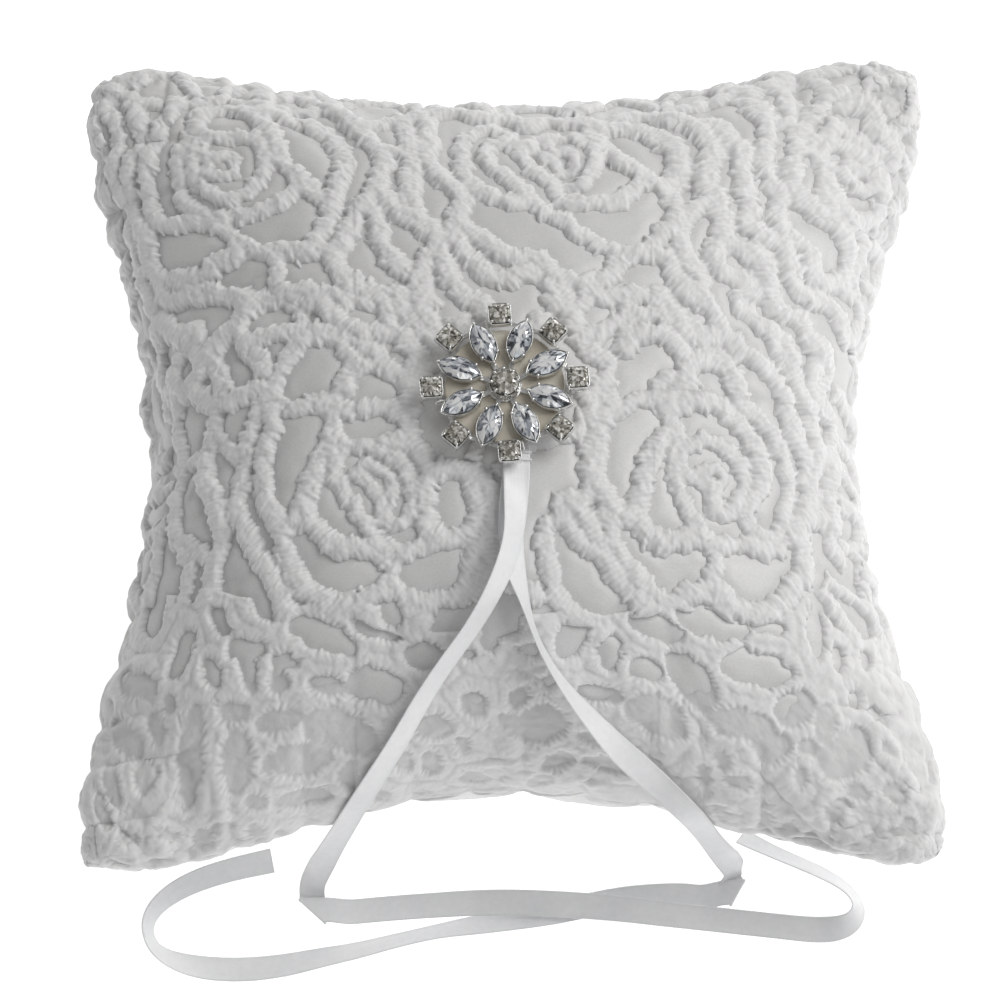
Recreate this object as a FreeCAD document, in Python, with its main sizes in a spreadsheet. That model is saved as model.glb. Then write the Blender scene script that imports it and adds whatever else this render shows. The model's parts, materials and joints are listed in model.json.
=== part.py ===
import FreeCAD, Part
import Sketcher
import math
import os

# Ring bearer pillow: a square fibre-filled satin pillow lying on its back, a corded lace
# overlay on its front, a jewelled brooch sewn at the crown and one satin ribbon folded under
# the brooch, whose two tails hang over the lower edge and lie on the table.
# Millimetres. Origin at the middle of the rest face, +Z up out of the front of the pillow,
# +Y towards the pillow's top edge, +X to its right.

V = FreeCAD.Vector
doc = FreeCAD.newDocument("RingBearerPillow")

# ---------------------------------------------------------------- driving dimensions
sheet = doc.addObject("Spreadsheet::Sheet", "Sizes")
SIZES = [
    ("pillow_half", 101.3),        # half the side of the finished pillow before the edges pull in
    ("corner_round", 0.035),       # how far the corners draw in, as a share of the half side
    ("pull_left", 0.17),           # how far the filling pulls each edge in at its middle
    ("pull_right", 0.205),
    ("pull_top", 0.125),
    ("pull_bottom", 0.205),
    ("seam_height", 32.0),         # the seam's height over the table
    ("front_crown", 44.0),         # crown of the front over the seam
    ("back_crown", 41.0),          # crown of the back below the seam, before it flattens on the table
    ("crown_power", 1.2),
    ("satin_thick", 0.6),
    ("layer_gap", 0.3),
    ("lace_inner", 0.2),
    ("lace_outer", 2.0),
    ("seam_gap", 0.4),
    ("seam_thread_in", 0.75),
    ("seam_thread_out", 0.15),
    ("close_count", 14),
    ("close_pitch", 5.0),
    ("close_radius", 0.3),
    ("close_length", 2.4),
    ("brooch_x", -1.0),
    ("brooch_y", 1.4),
    ("brooch_turn", 3.3),
    ("brooch_count", 8),
    ("fold_base", 78.3),
    ("ribbon_wide", 6.0),
    ("ribbon_thick", 0.4),
    ("fold_length", 24.0),
    ("fold_layer_gap", 0.25),
    ("pad_base", 79.55),
    ("pad_radius", 13.8),
    ("pad_thick", 0.7),
    ("frame_base", 80.3),
    ("frame_thick", 0.7),
    ("hub_outer", 4.1),
    ("hub_inner", 2.4),
    ("spoke_inner", 3.5),
    ("spoke_outer", 15.2),
    ("spoke_wide", 1.1),
    ("link_radius", 15.6),
    ("link_wide", 0.8),
    ("cup_base", 81.0),
    ("square_side", 5.4),
    ("square_radius", 16.8),
    ("square_tall", 1.9),
    ("square_floor", 0.5),
    ("square_wall", 0.30),
    ("square_claw_radius", 0.48),
    ("square_claw_tall", 2.7),
    ("marquise_long", 11.2),
    ("marquise_wide", 5.9),
    ("marquise_radius", 10.9),
    ("marquise_tall", 1.7),
    ("marquise_floor", 0.5),
    ("marquise_wall", 0.30),
    ("bead_radius", 0.45),
    ("bead_tall", 2.3),
    ("centre_outer", 3.75),
    ("centre_inner", 3.3),
    ("centre_tall", 2.1),
    ("centre_floor", 0.6),
    ("centre_claw_radius", 0.5),
    ("centre_claw_tall", 3.1),
    ("centre_claws", 8),
    ("stone_gap", 0.08),
    ("thread_radius", 0.17),
    ("tack_leg", 1.5),
    ("sew_ring", 1.0),
    ("sew_angle", 12.0),
]
for i, (name, value) in enumerate(SIZES):
    sheet.set("A%d" % (i + 1), str(value))
    sheet.setAlias("A%d" % (i + 1), name)
doc.recompute()


def S(name):
    return float(getattr(sheet, name))


def bind(obj, prop, expr):
    obj.setExpression(prop, expr)


parts = []


def keep(obj, label):
    obj.Label = label
    parts.append(obj)
    return obj


def feature(label, shape, place=None):
    o = doc.addObject("Part::Feature", label)
    o.Shape = shape
    o.Placement = place if place is not None else FreeCAD.Placement()
    return keep(o, label)


# ---------------------------------------------------------------- the pillow's form
HALF, ROUND = S("pillow_half"), S("corner_round")
PULL = {"l": S("pull_left"), "r": S("pull_right"), "t": S("pull_top"), "b": S("pull_bottom")}
POWER = S("crown_power")
N_SPANS = 26


def form(sg, tu, crown, off):
    """Point of the pillow's form in plan and its height over the seam, sg and tu from -1 to 1."""
    a, b = math.sin(sg * math.pi / 2), math.sin(tu * math.pi / 2)
    px = PULL["l"] if a < 0 else PULL["r"]
    py = PULL["b"] if b < 0 else PULL["t"]
    c = ROUND * a ** 6 * b ** 6
    side = HALF + off
    x = side * a * (1 - px * a * a * (1 - b * b) ** 2 - c)
    y = side * b * (1 - py * b * b * (1 - a * a) ** 2 - c)
    k = math.cos(sg * math.pi / 2) * math.cos(tu * math.pi / 2)
    z = (crown + off) * (k ** POWER if k > 1e-9 else 0.0)
    return x, y, z


def greville(n):
    kn = [0.0] * 4 + [float(i) for i in range(1, n)] + [float(n)] * 4
    return [(kn[i + 1] + kn[i + 2] + kn[i + 3]) / 3.0 for i in range(n + 3)]


GREV = [2.0 * g / N_SPANS - 1.0 for g in greville(N_SPANS)]


def half_surface(crown, off, z_seam, sign, floor=None):
    """One half of the pillow's form, a bicubic surface whose rim is the seam at z_seam."""
    poles = []
    for sg in GREV:
        row = []
        for tu in GREV:
            x, y, h = form(sg, tu, crown, off)
            z = z_seam + sign * h
            if floor is not None and z < floor:
                z = floor
            row.append(V(x, y, z))
        poles.append(row)
    bs = Part.BSplineSurface()
    kn = [float(i) for i in range(N_SPANS + 1)]
    mu = [4] + [1] * (N_SPANS - 1) + [4]
    bs.buildFromPolesMultsKnots(poles, mu, mu, kn, kn, False, False, 3, 3)
    return bs.toShape()


def rim_wire(face):
    return Part.Wire(Part.__sortEdges__(face.Edges))


def shell_solid(faces):
    sh = Part.makeShell(faces)
    sh.sewShape()
    if sh.ShapeType == "Compound":
        sh = sh.Shells[0]
    so = Part.makeSolid(sh)
    if so.Volume < 0:
        so.reverse()
    return so


def panel(crown, off_out, off_in, z_seam, sign, floor_out=None, floor_in=None):
    """A closed thin shell: the outer and inner halves joined by a flat rim at the seam."""
    outer = half_surface(crown, off_out, z_seam, sign, floor_out)
    inner = half_surface(crown, off_in, z_seam, sign, floor_in)
    wo, wi = rim_wire(outer), rim_wire(inner)
    rim = Part.makeFace([wo, wi], "Part::FaceMakerBullseye").Faces[0]
    return shell_solid([outer, inner, rim])


ZS, CF, CB = S("seam_height"), S("front_crown"), S("back_crown")
SAT, GAP, SG = S("satin_thick"), S("layer_gap"), S("seam_gap")

# fibre filling: one closed lump, flat where it lies on the table
core_off = -(SAT + GAP)
top = half_surface(CF, core_off, ZS, 1)
bot = half_surface(CB, core_off, ZS, -1, SAT + GAP)
feature("fibrefill_core", shell_solid([top, bot]))

feature("satin_front_panel", panel(CF, 0.0, -SAT, ZS + SG / 2, 1))


def back_lump(off, z_low):
    """The back half as a solid lump, cut off flat at z_low."""
    face = half_surface(CB, off, ZS - SG / 2, -1)
    cap = Part.Face(rim_wire(face))
    lump = shell_solid([face, cap])
    side = 3 * HALF
    return lump.cut(Part.makeBox(side, side, 60.0, V(-side / 2, -side / 2, z_low - 60.0)))


back = back_lump(0.0, 0.0).cut(back_lump(-SAT, SAT))
feature("satin_back_panel", back.Solids[0] if len(back.Solids) == 1 else back)
feature("lace_overlay", panel(CF, S("lace_outer"), S("lace_inner"), ZS, 1))

# seam thread: a fine closed line between the two panels, all round
ro = rim_wire(half_surface(CF, -S("seam_thread_out"), ZS - SG / 2, 1))
ri = rim_wire(half_surface(CF, -S("seam_thread_in"), ZS - SG / 2, 1))
feature("perimeter_seam_thread",
        Part.makeFace([ro, ri], "Part::FaceMakerBullseye").Faces[0].extrude(V(0, 0, SG)))


# hand-closed gap in the middle of the top edge: a row of short stitches under the lace's rim
def edge_y(x, off, depth):
    """y of the back panel's top edge at x, a given depth below the seam."""
    best = None
    for i in range(0, 401):
        for j in range(330, 401):
            sg, tu = -1 + 2 * i / 400.0, -1 + 2 * j / 400.0
            X, Y, h = form(sg, tu, CB, off)
            if abs(X - x) < 0.5 and abs(h - depth) < 0.6:
                best = Y if best is None else max(best, Y)
    return best


close = []
n_close = int(S("close_count"))
for i in range(n_close):
    x = (i - (n_close - 1) / 2.0) * S("close_pitch")
    y = edge_y(x, 0.0, 1.6)
    c = doc.addObject("Part::Cylinder", "CloseStitch%02d" % i)
    bind(c, "Radius", "Sizes.close_radius")
    bind(c, "Height", "Sizes.close_length")
    c.Placement = FreeCAD.Placement(
        V(x, y + S("close_radius") + 0.35, ZS - 0.25 - S("close_length")),
        FreeCAD.Rotation(V(0, 1, 0), 0))
    close.append(c)
mf = doc.addObject("Part::MultiFuse", "ClosingStitches")
mf.Shapes = close
keep(mf, "closing_stitches")


# ---------------------------------------------------------------- helpers for sketches
def new_body(name):
    b = doc.addObject("PartDesign::Body", name)
    if hasattr(b, "AllowCompound"):
        b.AllowCompound = True
    return b


def plane(body, role):
    return [o for o in body.Origin.OriginFeatures if o.Role == role][0]


def sketch(body, name, z=None, role="XY_Plane"):
    sk = body.newObject("Sketcher::SketchObject", name)
    sk.AttachmentSupport = [(plane(body, role), "")]
    sk.MapMode = "FlatFace"
    if z:
        sk.AttachmentOffset = FreeCAD.Placement(V(0, 0, z), FreeCAD.Rotation())
    return sk


def ring(sk, r, cx=0.0, cy=0.0, expr=None):
    g = sk.addGeometry(Part.Circle(V(cx, cy, 0), V(0, 0, 1), r), False)
    if abs(cx) < 1e-9 and abs(cy) < 1e-9:
        sk.addConstraint(Sketcher.Constraint("Coincident", g, 3, -1, 1))
    c = sk.addConstraint(Sketcher.Constraint("Radius", g, r))
    if expr:
        sk.setExpression("Constraints[%d]" % c, expr)
    return g


def poly(sk, pts):
    ids = []
    n = len(pts)
    for i in range(n):
        a, b = pts[i], pts[(i + 1) % n]
        ids.append(sk.addGeometry(Part.LineSegment(V(a[0], a[1], 0), V(b[0], b[1], 0)), False))
    for i in range(n):
        sk.addConstraint(Sketcher.Constraint("Coincident", ids[i], 2, ids[(i + 1) % n], 1))
    return ids


def rect(sk, x0, x1, y0, y1, wx=None, wy=None):
    """Rectangle with sides along the axes; wx and wy name the cells that drive its size."""
    e = poly(sk, [(x0, y0), (x1, y0), (x1, y1), (x0, y1)])
    sk.addConstraint(Sketcher.Constraint("Horizontal", e[0]))
    sk.addConstraint(Sketcher.Constraint("Horizontal", e[2]))
    sk.addConstraint(Sketcher.Constraint("Vertical", e[1]))
    sk.addConstraint(Sketcher.Constraint("Vertical", e[3]))
    if wx:
        c = sk.addConstraint(Sketcher.Constraint("DistanceX", e[0], 1, e[0], 2, x1 - x0))
        sk.setExpression("Constraints[%d]" % c, wx)
    if wy:
        c = sk.addConstraint(Sketcher.Constraint("DistanceY", e[1], 1, e[1], 2, y1 - y0))
        sk.setExpression("Constraints[%d]" % c, wy)
    return e


def lens(sk, cx, length, width):
    """Marquise outline: two arcs meeting at points on the X axis, centred at cx."""
    a, b = length / 2.0, width / 2.0
    r = (a * a + b * b) / (2 * b)
    up = Part.Arc(V(cx + a, 0, 0), V(cx, b, 0), V(cx - a, 0, 0))
    dn = Part.Arc(V(cx - a, 0, 0), V(cx, -b, 0), V(cx + a, 0, 0))
    g1 = sk.addGeometry(up, False)
    g2 = sk.addGeometry(dn, False)
    sk.addConstraint(Sketcher.Constraint("Coincident", g1, 1, g2, 2))
    sk.addConstraint(Sketcher.Constraint("Coincident", g1, 2, g2, 1))
    return r


def pad(body, sk, expr, name):
    p = body.newObject("PartDesign::Pad", name)
    p.Profile = sk
    bind(p, "Length", expr)
    sk.Visibility = False
    return p


def pocket(body, sk, expr, name):
    p = body.newObject("PartDesign::Pocket", name)
    p.Profile = sk
    bind(p, "Length", expr)
    sk.Visibility = False
    return p


def around(body, features, count_expr, name):
    pat = body.newObject("PartDesign::PolarPattern", name)
    pat.Originals = features
    pat.Axis = (plane(body, "Z_Axis"), [""])
    pat.Angle = 360
    bind(pat, "Occurrences", count_expr)
    body.Tip = pat
    return pat


def brooch_place(z, extra=0.0):
    return FreeCAD.Placement(V(S("brooch_x"), S("brooch_y"), z),
                             FreeCAD.Rotation(V(0, 0, 1), S("brooch_turn") + extra))


MARQ = 22.5  # the marquise stones sit half a pitch round from the square ones

# ---------------------------------------------------------------- brooch backing
pad_body = new_body("BackingPad")
sk = sketch(pad_body, "PadOutline")
ring(sk, S("pad_radius"), expr="Sizes.pad_radius")
pad(pad_body, sk, "Sizes.pad_thick", "PadDisc")
pad_body.Placement = brooch_place(S("pad_base"))
keep(pad_body, "brooch_backing_pad")

# ---------------------------------------------------------------- brooch frame: hub, spokes and links
fr = new_body("Frame")
sk = sketch(fr, "HubOutline")
ring(sk, S("hub_outer"), expr="Sizes.hub_outer")
ring(sk, S("hub_inner"), expr="Sizes.hub_inner")
pad(fr, sk, "Sizes.frame_thick", "Hub")
sk = sketch(fr, "SpokeOutline")
rect(sk, S("spoke_inner"), S("spoke_outer"), -S("spoke_wide") / 2, S("spoke_wide") / 2,
     "Sizes.spoke_outer - Sizes.spoke_inner", "Sizes.spoke_wide")
spoke = pad(fr, sk, "Sizes.frame_thick", "Spoke")
links = []
for side in (1, -1):
    sk = sketch(fr, "LinkOutline%d" % (1 if side > 0 else 2))
    r, w = S("link_radius"), S("link_wide") / 2
    a0, a1 = math.radians(1.2) * side, math.radians(MARQ) * side
    p0 = V((r - 0.9) * math.cos(a0), (r - 0.9) * math.sin(a0), 0)
    p1 = V((r + 0.4) * math.cos(a1), (r + 0.4) * math.sin(a1), 0)
    d = (p1 - p0).normalize()
    nrm = V(-d.y, d.x, 0) * w
    q = [p0 + nrm, p0 - nrm, p1 - nrm, p1 + nrm]
    poly(sk, [(v.x, v.y) for v in q])
    links.append(pad(fr, sk, "Sizes.frame_thick", "Link%d" % (1 if side > 0 else 2)))
around(fr, [spoke] + links, "Sizes.brooch_count", "FramePattern")
fr.Placement = brooch_place(S("frame_base"), MARQ)
keep(fr, "brooch_frame")

# ---------------------------------------------------------------- marquise settings
mq = new_body("MarquiseSettings")
ML, MW, MR = S("marquise_long"), S("marquise_wide"), S("marquise_radius")
sk = sketch(mq, "MarquiseOutline")
lens(sk, MR, ML, MW)
f1 = pad(mq, sk, "Sizes.marquise_tall", "MarquiseWall")
sk = sketch(mq, "MarquiseSeat", S("marquise_tall"))
mwall = S("marquise_wall")
lens(sk, MR, ML - 4 * mwall, MW - 2 * mwall)
f2 = pocket(mq, sk, "Sizes.marquise_tall - Sizes.marquise_floor", "MarquiseSeatCut")
bead = []
for k, (bx, by) in enumerate(((MR - ML / 2 + 2.2, 2.15), (MR - ML / 2 + 2.2, -2.15))):
    sk = sketch(mq, "BeadOutline%d" % (k + 1))
    ring(sk, S("bead_radius"), bx, by, "Sizes.bead_radius")
    bead.append(pad(mq, sk, "Sizes.bead_tall", "Bead%d" % (k + 1)))
around(mq, [f1, f2] + bead, "Sizes.brooch_count", "MarquisePattern")
mq.Placement = brooch_place(S("cup_base"), MARQ)
keep(mq, "marquise_settings")

# ---------------------------------------------------------------- square settings
sq = new_body("SquareSettings")
SR, SD, SWL = S("square_radius"), S("square_side") / 2, S("square_wall")
sk = sketch(sq, "SquareOutline")
rect(sk, SR - SD, SR + SD, -SD, SD, "Sizes.square_side", "Sizes.square_side")
g1 = pad(sq, sk, "Sizes.square_tall", "SquareWall")
sk = sketch(sq, "SquareSeat", S("square_tall"))
ring(sk, SD - SWL, SR, 0.0, "Sizes.square_side / 2 - Sizes.square_wall")
g2 = pocket(sq, sk, "Sizes.square_tall - Sizes.square_floor", "SquareSeatCut")
claws = []
cr = SD - 0.42
for k, (ax, ay) in enumerate(((1, 1), (1, -1), (-1, 1), (-1, -1))):
    sk = sketch(sq, "ClawOutline%d" % (k + 1))
    ring(sk, S("square_claw_radius"), SR + ax * cr, ay * cr, "Sizes.square_claw_radius")
    claws.append(pad(sq, sk, "Sizes.square_claw_tall", "Claw%d" % (k + 1)))
around(sq, [g1, g2] + claws, "Sizes.brooch_count", "SquarePattern")
sq.Placement = brooch_place(S("cup_base"))
keep(sq, "square_settings")

# ---------------------------------------------------------------- centre setting
cs = new_body("CentreSetting")
sk = sketch(cs, "CentreOutline")
ring(sk, S("centre_outer"), expr="Sizes.centre_outer")
pad(cs, sk, "Sizes.centre_tall", "CentreWall")
sk = sketch(cs, "CentreSeat", S("centre_tall"))
ring(sk, S("centre_inner"), expr="Sizes.centre_inner")
pocket(cs, sk, "Sizes.centre_tall - Sizes.centre_floor", "CentreSeatCut")
sk = sketch(cs, "CentreClawOutline")
ring(sk, S("centre_claw_radius"), S("centre_outer") - 0.1, 0.0, "Sizes.centre_claw_radius")
cc = pad(cs, sk, "Sizes.centre_claw_tall", "CentreClaw")
around(cs, [cc], "Sizes.centre_claws", "CentreClaws")
cs.Placement = brooch_place(S("cup_base"))
keep(cs, "centre_setting")


# ---------------------------------------------------------------- cut stones
def stone(outline, cx, table, crown_h, pav_h, girdle_h, keel=0.0):
    """A faceted stone: outline is the girdle's points round (cx, 0); table is its share of the
    girdle; crown and pavilion heights; keel is the half length of the bottom edge."""
    n = len(outline)
    z0 = pav_h
    gl = [V(cx + x, y, z0) for x, y in outline]
    gh = [V(cx + x, y, z0 + girdle_h) for x, y in outline]
    tb = [V(cx + x * table, y * table, z0 + girdle_h + crown_h) for x, y in outline]
    mid = []
    for i in range(n):
        x = (outline[i][0] + outline[(i + 1) % n][0]) / 2
        y = (outline[i][1] + outline[(i + 1) % n][1]) / 2
        k = (1 + table) / 2 * 1.015
        mid.append(V(cx + x * k, y * k, z0 + girdle_h + crown_h * 0.62))
    bot = [V(cx + max(-keel, min(keel, x * 0.5)), 0, 0) for x, y in outline]
    faces = []

    def tri(a, b, c):
        if (b - a).cross(c - a).Length > 1e-6:
            faces.append(Part.Face(Part.makePolygon([a, b, c, a])))

    for i in range(n):
        j = (i + 1) % n
        tri(gl[i], gl[j], bot[i])
        if (bot[i] - bot[j]).Length > 1e-6:
            tri(gl[j], bot[j], bot[i])
        tri(gl[i], gh[j], gl[j])
        tri(gl[i], gh[i], gh[j])
        tri(gh[i], mid[i], gh[j])
        tri(gh[j], mid[i], tb[j])
        tri(mid[i], tb[i], tb[j])
        tri(gh[i], tb[i], mid[i])
    faces.append(Part.Face(Part.makePolygon(tb + [tb[0]])))
    return shell_solid(faces)


def circle_pts(r, n):
    return [(r * math.cos(2 * math.pi * i / n), r * math.sin(2 * math.pi * i / n)) for i in range(n)]


def lens_pts(length, width, n):
    """Points round a marquise outline, counter-clockwise, n on each arc."""
    a, b = length / 2.0, width / 2.0
    r = (a * a + b * b) / (2 * b)
    yc = r - b
    t = math.asin(a / r)
    up = [(r * math.sin(t - 2 * t * i / n), r * math.cos(t - 2 * t * i / n) - yc) for i in range(n)]
    dn = [(-x, -y) for x, y in up]
    return up + dn


def polar(shape, count, start=0.0):
    out = []
    for i in range(count):
        c = shape.copy()
        c.rotate(V(0, 0, 0), V(0, 0, 1), start + 360.0 * i / count)
        out.append(c)
    return out


n8 = int(S("brooch_count"))
sg = S("stone_gap")
ms = stone(lens_pts(ML - 4 * mwall - 4 * sg, MW - 2 * mwall - 2 * sg, 6), MR, 0.55, 0.95, 0.9, 0.25, 2.2)
feature("marquise_crystals", Part.makeCompound(polar(ms, n8)),
        brooch_place(S("cup_base") + S("marquise_floor") + sg, MARQ))
qs = stone(circle_pts(SD - SWL - 0.35, 8), SR, 0.56, 0.8, 1.1, 0.2)
feature("accent_crystals", Part.makeCompound(polar(qs, n8)),
        brooch_place(S("cup_base") + S("square_floor") + sg))
ct = stone(circle_pts(S("centre_inner") - 0.42, 16), 0.0, 0.56, 1.0, 1.4, 0.25)
feature("centre_crystal", ct, brooch_place(S("cup_base") + S("centre_floor") + sg))

# ---------------------------------------------------------------- thread that holds the brooch and the ribbon
sew = []
rr = S("link_radius") - 0.25
for i in range(4):
    ang = S("brooch_turn") + S("sew_angle") + 90.0 * i
    t = doc.addObject("Part::Torus", "SewLoop%d" % i)
    bind(t, "Radius1", "Sizes.sew_ring")
    bind(t, "Radius2", "Sizes.thread_radius")
    # a loop standing on edge round one of the frame's links, between a square and a marquise setting
    ar = math.radians(ang)
    t.Placement = FreeCAD.Placement(
        V(S("brooch_x") + rr * math.cos(ar), S("brooch_y") + rr * math.sin(ar),
          S("frame_base") + S("frame_thick") / 2),
        FreeCAD.Rotation(V(0, 0, 1), ang).multiply(FreeCAD.Rotation(V(1, 0, 0), 90)))
    sew.append(t)
mf = doc.addObject("Part::MultiFuse", "SewLoops")
mf.Shapes = sew

# ---------------------------------------------------------------- ribbon: the fold under the brooch
RW, RT, FL, FG = S("ribbon_wide"), S("ribbon_thick"), S("fold_length"), S("fold_layer_gap")
EXIT_X, EXIT_Y = 1.6, -17.7
fold = new_body("RibbonFold")
sk = sketch(fold, "FoldProfile", role="YZ_Plane")
tot = 2 * RT + FG
poly(sk, [(0, 0), (FL, 0), (FL, tot), (0, tot), (0, RT + FG), (FL - RT, RT + FG), (FL - RT, RT), (0, RT)])
pad(fold, sk, "Sizes.ribbon_wide", "FoldStrip")
fold.Placement = FreeCAD.Placement(V(EXIT_X - RW / 2, EXIT_Y, S("fold_base")), FreeCAD.Rotation())
keep(fold, "ribbon_fold")

# ---------------------------------------------------------------- ribbon tails
# each route point: x, y, z of the strip's middle, and how far the strip is turned about its own
# line: 0 lies flat on what is under it, 90 stands on its edge
LEFT = [
    (1.6, -17.8, 79.15, 0), (1.3, -25.9, 78.57, -28), (0.9, -33.4, 79.32, -42),
    (-0.4, -40.3, 81.17, -44), (-3.7, -48.1, 80.19, -50), (-8.5, -54.6, 74.24, -54),
    (-14.5, -61.4, 69.80, -52), (-20.0, -67.7, 63.58, -48), (-24.4, -73.9, 58.18, -42),
    (-29.3, -79.7, 51.24, -34), (-33.6, -84.1, 44.00, -26), (-36.7, -87.1, 38.50, -20),
    (-39.4, -89.1, 31.00, -12), (-42.5, -90.4, 20.50, -4), (-45.3, -91.6, 9.60, 0),
    (-47.1, -93.3, 4.00, 0), (-47.7, -95.3, 1.70, 0), (-47.3, -97.8, 0.90, 0), (-45.3, -99.8, 0.80, 0),
    (-42.3, -100.5, 0.80, 0), (-35.9, -99.8, 1.00, 0), (-27.0, -99.3, 1.60, 0),
    (-17.9, -98.9, 2.20, 0), (-8.9, -98.7, 3.00, 10), (0.1, -98.9, 3.70, 20), (9.1, -99.4, 3.80, 22),
    (18.1, -100.0, 3.50, 16), (27.1, -100.7, 2.80, 8), (36.2, -101.8, 2.00, 0),
    (45.2, -102.8, 1.75, 0), (54.2, -103.8, 1.35, 0), (63.2, -104.8, 0.95, 0),
    (70.4, -105.6, 0.89, 10), (75.8, -105.7, 1.93, 32), (79.3, -104.3, 2.67, 52),
    (81.0, -101.4, 2.93, 62), (79.9, -98.0, 2.88, 60), (77.0, -95.0, 2.67, 52),
    (72.4, -92.1, 2.48, 46), (67.5, -89.8, 2.48, 46), (62.6, -87.6, 2.48, 46), (57.5, -85.0, 2.26, 40),
    (53.5, -82.7, 2.02, 34),
]
RIGHT = [
    (1.6, -17.8, 78.50, 0), (0.5, -25.4, 77.41, -12), (0.1, -31.0, 76.83, -20),
    (0.2, -36.2, 76.28, -24), (1.0, -41.8, 75.77, -40), (2.8, -48.1, 74.34, -70),
    (4.7, -54.3, 72.06, -80), (7.1, -59.7, 69.54, -79), (10.5, -64.8, 66.59, -76),
    (14.3, -69.2, 63.42, -68), (18.6, -73.3, 59.72, -55), (23.4, -77.4, 54.99, -38),
    (28.2, -80.6, 50.50, -20), (33.1, -83.7, 45.65, -8), (37.4, -87.1, 43.00, -2),
    (41.6, -89.9, 38.20, 0), (45.3, -90.8, 27.00, 0), (48.6, -90.7, 14.50, 0), (51.1, -91.0, 6.40, 0),
    (52.6, -92.3, 2.20, 0), (53.2, -94.8, 0.90, 0), (51.9, -97.3, 0.70, 0), (49.2, -98.2, 0.60, 0),
    (45.5, -97.8, 0.50, 0), (41.3, -96.7, 0.50, 0), (34.3, -96.7, 0.50, 0), (26.0, -97.3, 0.50, 0),
    (17.8, -98.8, 0.60, 4), (9.1, -100.8, 0.90, 8), (-0.1, -102.2, 1.20, 13), (-9.0, -103.8, 1.90, 26),
    (-17.9, -105.3, 2.33, 42), (-27.0, -107.4, 2.33, 42), (-36.0, -109.6, 2.10, 36),
    (-45.1, -111.3, 1.67, 26), (-54.0, -113.0, 0.99, 12), (-63.1, -113.8, 0.63, 5),
    (-72.0, -113.5, 0.79, 8), (-79.3, -112.0, 1.76, 28), (-83.7, -109.6, 2.67, 52),
    (-85.7, -106.2, 3.01, 66), (-85.9, -102.3, 3.05, 68), (-83.7, -98.4, 2.93, 62),
    (-78.8, -94.5, 2.67, 52), (-72.0, -91.4, 2.44, 45), (-63.8, -89.1, 2.33, 42),
    (-56.7, -87.5, 2.02, 34),
]


def pillow_normal(p):
    """Which way is up off the pillow or the table at p."""
    if p.z < 30.0:
        f = max(0.0, min(1.0, (p.z - 4.0) / 22.0))
        return (V(0, -1, 0) * f + V(0, 0, 1) * (1 - f) + V(0, 0, 0.001)).normalize()
    x, y, z = p.x / HALF, p.y / HALF, max(0.05, (p.z - ZS) / CF)
    nx = x / max(0.08, (1 - x * x)) * 0.5
    ny = y / max(0.08, (1 - y * y)) * 0.5
    return V(nx, ny, 0.9 if p.z > 45 else 0.9 * (p.z - 30) / 15.0 + 0.02).normalize()


def route_path(points, label):
    """Straight runs joined by tangent arcs: returns the path's points and turns, close together."""
    P = [V(*p[:3]) for p in points]
    A = [p[3] for p in points]
    N = [pillow_normal(p) for p in P]
    n = len(P)
    runs = [(P[i + 1] - P[i]).Length for i in range(n - 1)]
    out = [(P[0], 0.0)]
    radii = []
    for i in range(1, n - 1):
        d0 = (P[i] - P[i - 1]).normalize()
        d1 = (P[i + 1] - P[i]).normalize()
        turn = d0.getAngle(d1)
        if turn < 1e-4:
            out.append((P[i], float(i)))
            continue
        shorter = min(runs[i - 1], runs[i])
        cut = 0.45 * shorter
        rad = cut / math.tan(turn / 2)
        radii.append((round(rad, 1), round(math.degrees(turn))))
        a, b = P[i] - d0 * cut, P[i] + d1 * cut
        bis = (d1 - d0).normalize()
        centre = P[i] + bis * (cut ** 2 + rad ** 2) ** 0.5
        steps = max(2, int(math.ceil(math.degrees(turn) / 9.0)))
        va = (a - centre)
        ax = d0.cross(d1).normalize()
        for k in range(steps + 1):
            rot = FreeCAD.Rotation(ax, math.degrees(turn) * k / steps)
            q = centre + rot.multVec(va)
            share = k / float(steps)
            at = (i - cut / runs[i - 1]) * (1 - share) + (i + cut / runs[i]) * share
            out.append((q, at))
    out.append((P[-1], float(n - 1)))
    print(label, "bend radius mm and turn degrees:", radii)
    print(label, "runs mm:", [round(r, 1) for r in runs])
    # long gaps are divided so that the strip can turn about its own line
    fine = [out[0]]
    for q, at in out[1:]:
        p0, at0 = fine[-1]
        L = (q - p0).Length
        m = max(1, int(math.ceil(L / 2.6)))
        for k in range(1, m + 1):
            fine.append((p0 + (q - p0) * (k / float(m)), at0 + (at - at0) * k / float(m)))
    turns, ups = [], []
    for q, at in fine:
        i = min(n - 2, int(at))
        f = at - i
        f = f * f * (3 - 2 * f)
        turns.append(A[i] * (1 - f) + A[i + 1] * f)
        ups.append((N[i] * (1 - f) + N[i + 1] * f).normalize())
    return [q for q, at in fine], turns, ups


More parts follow.
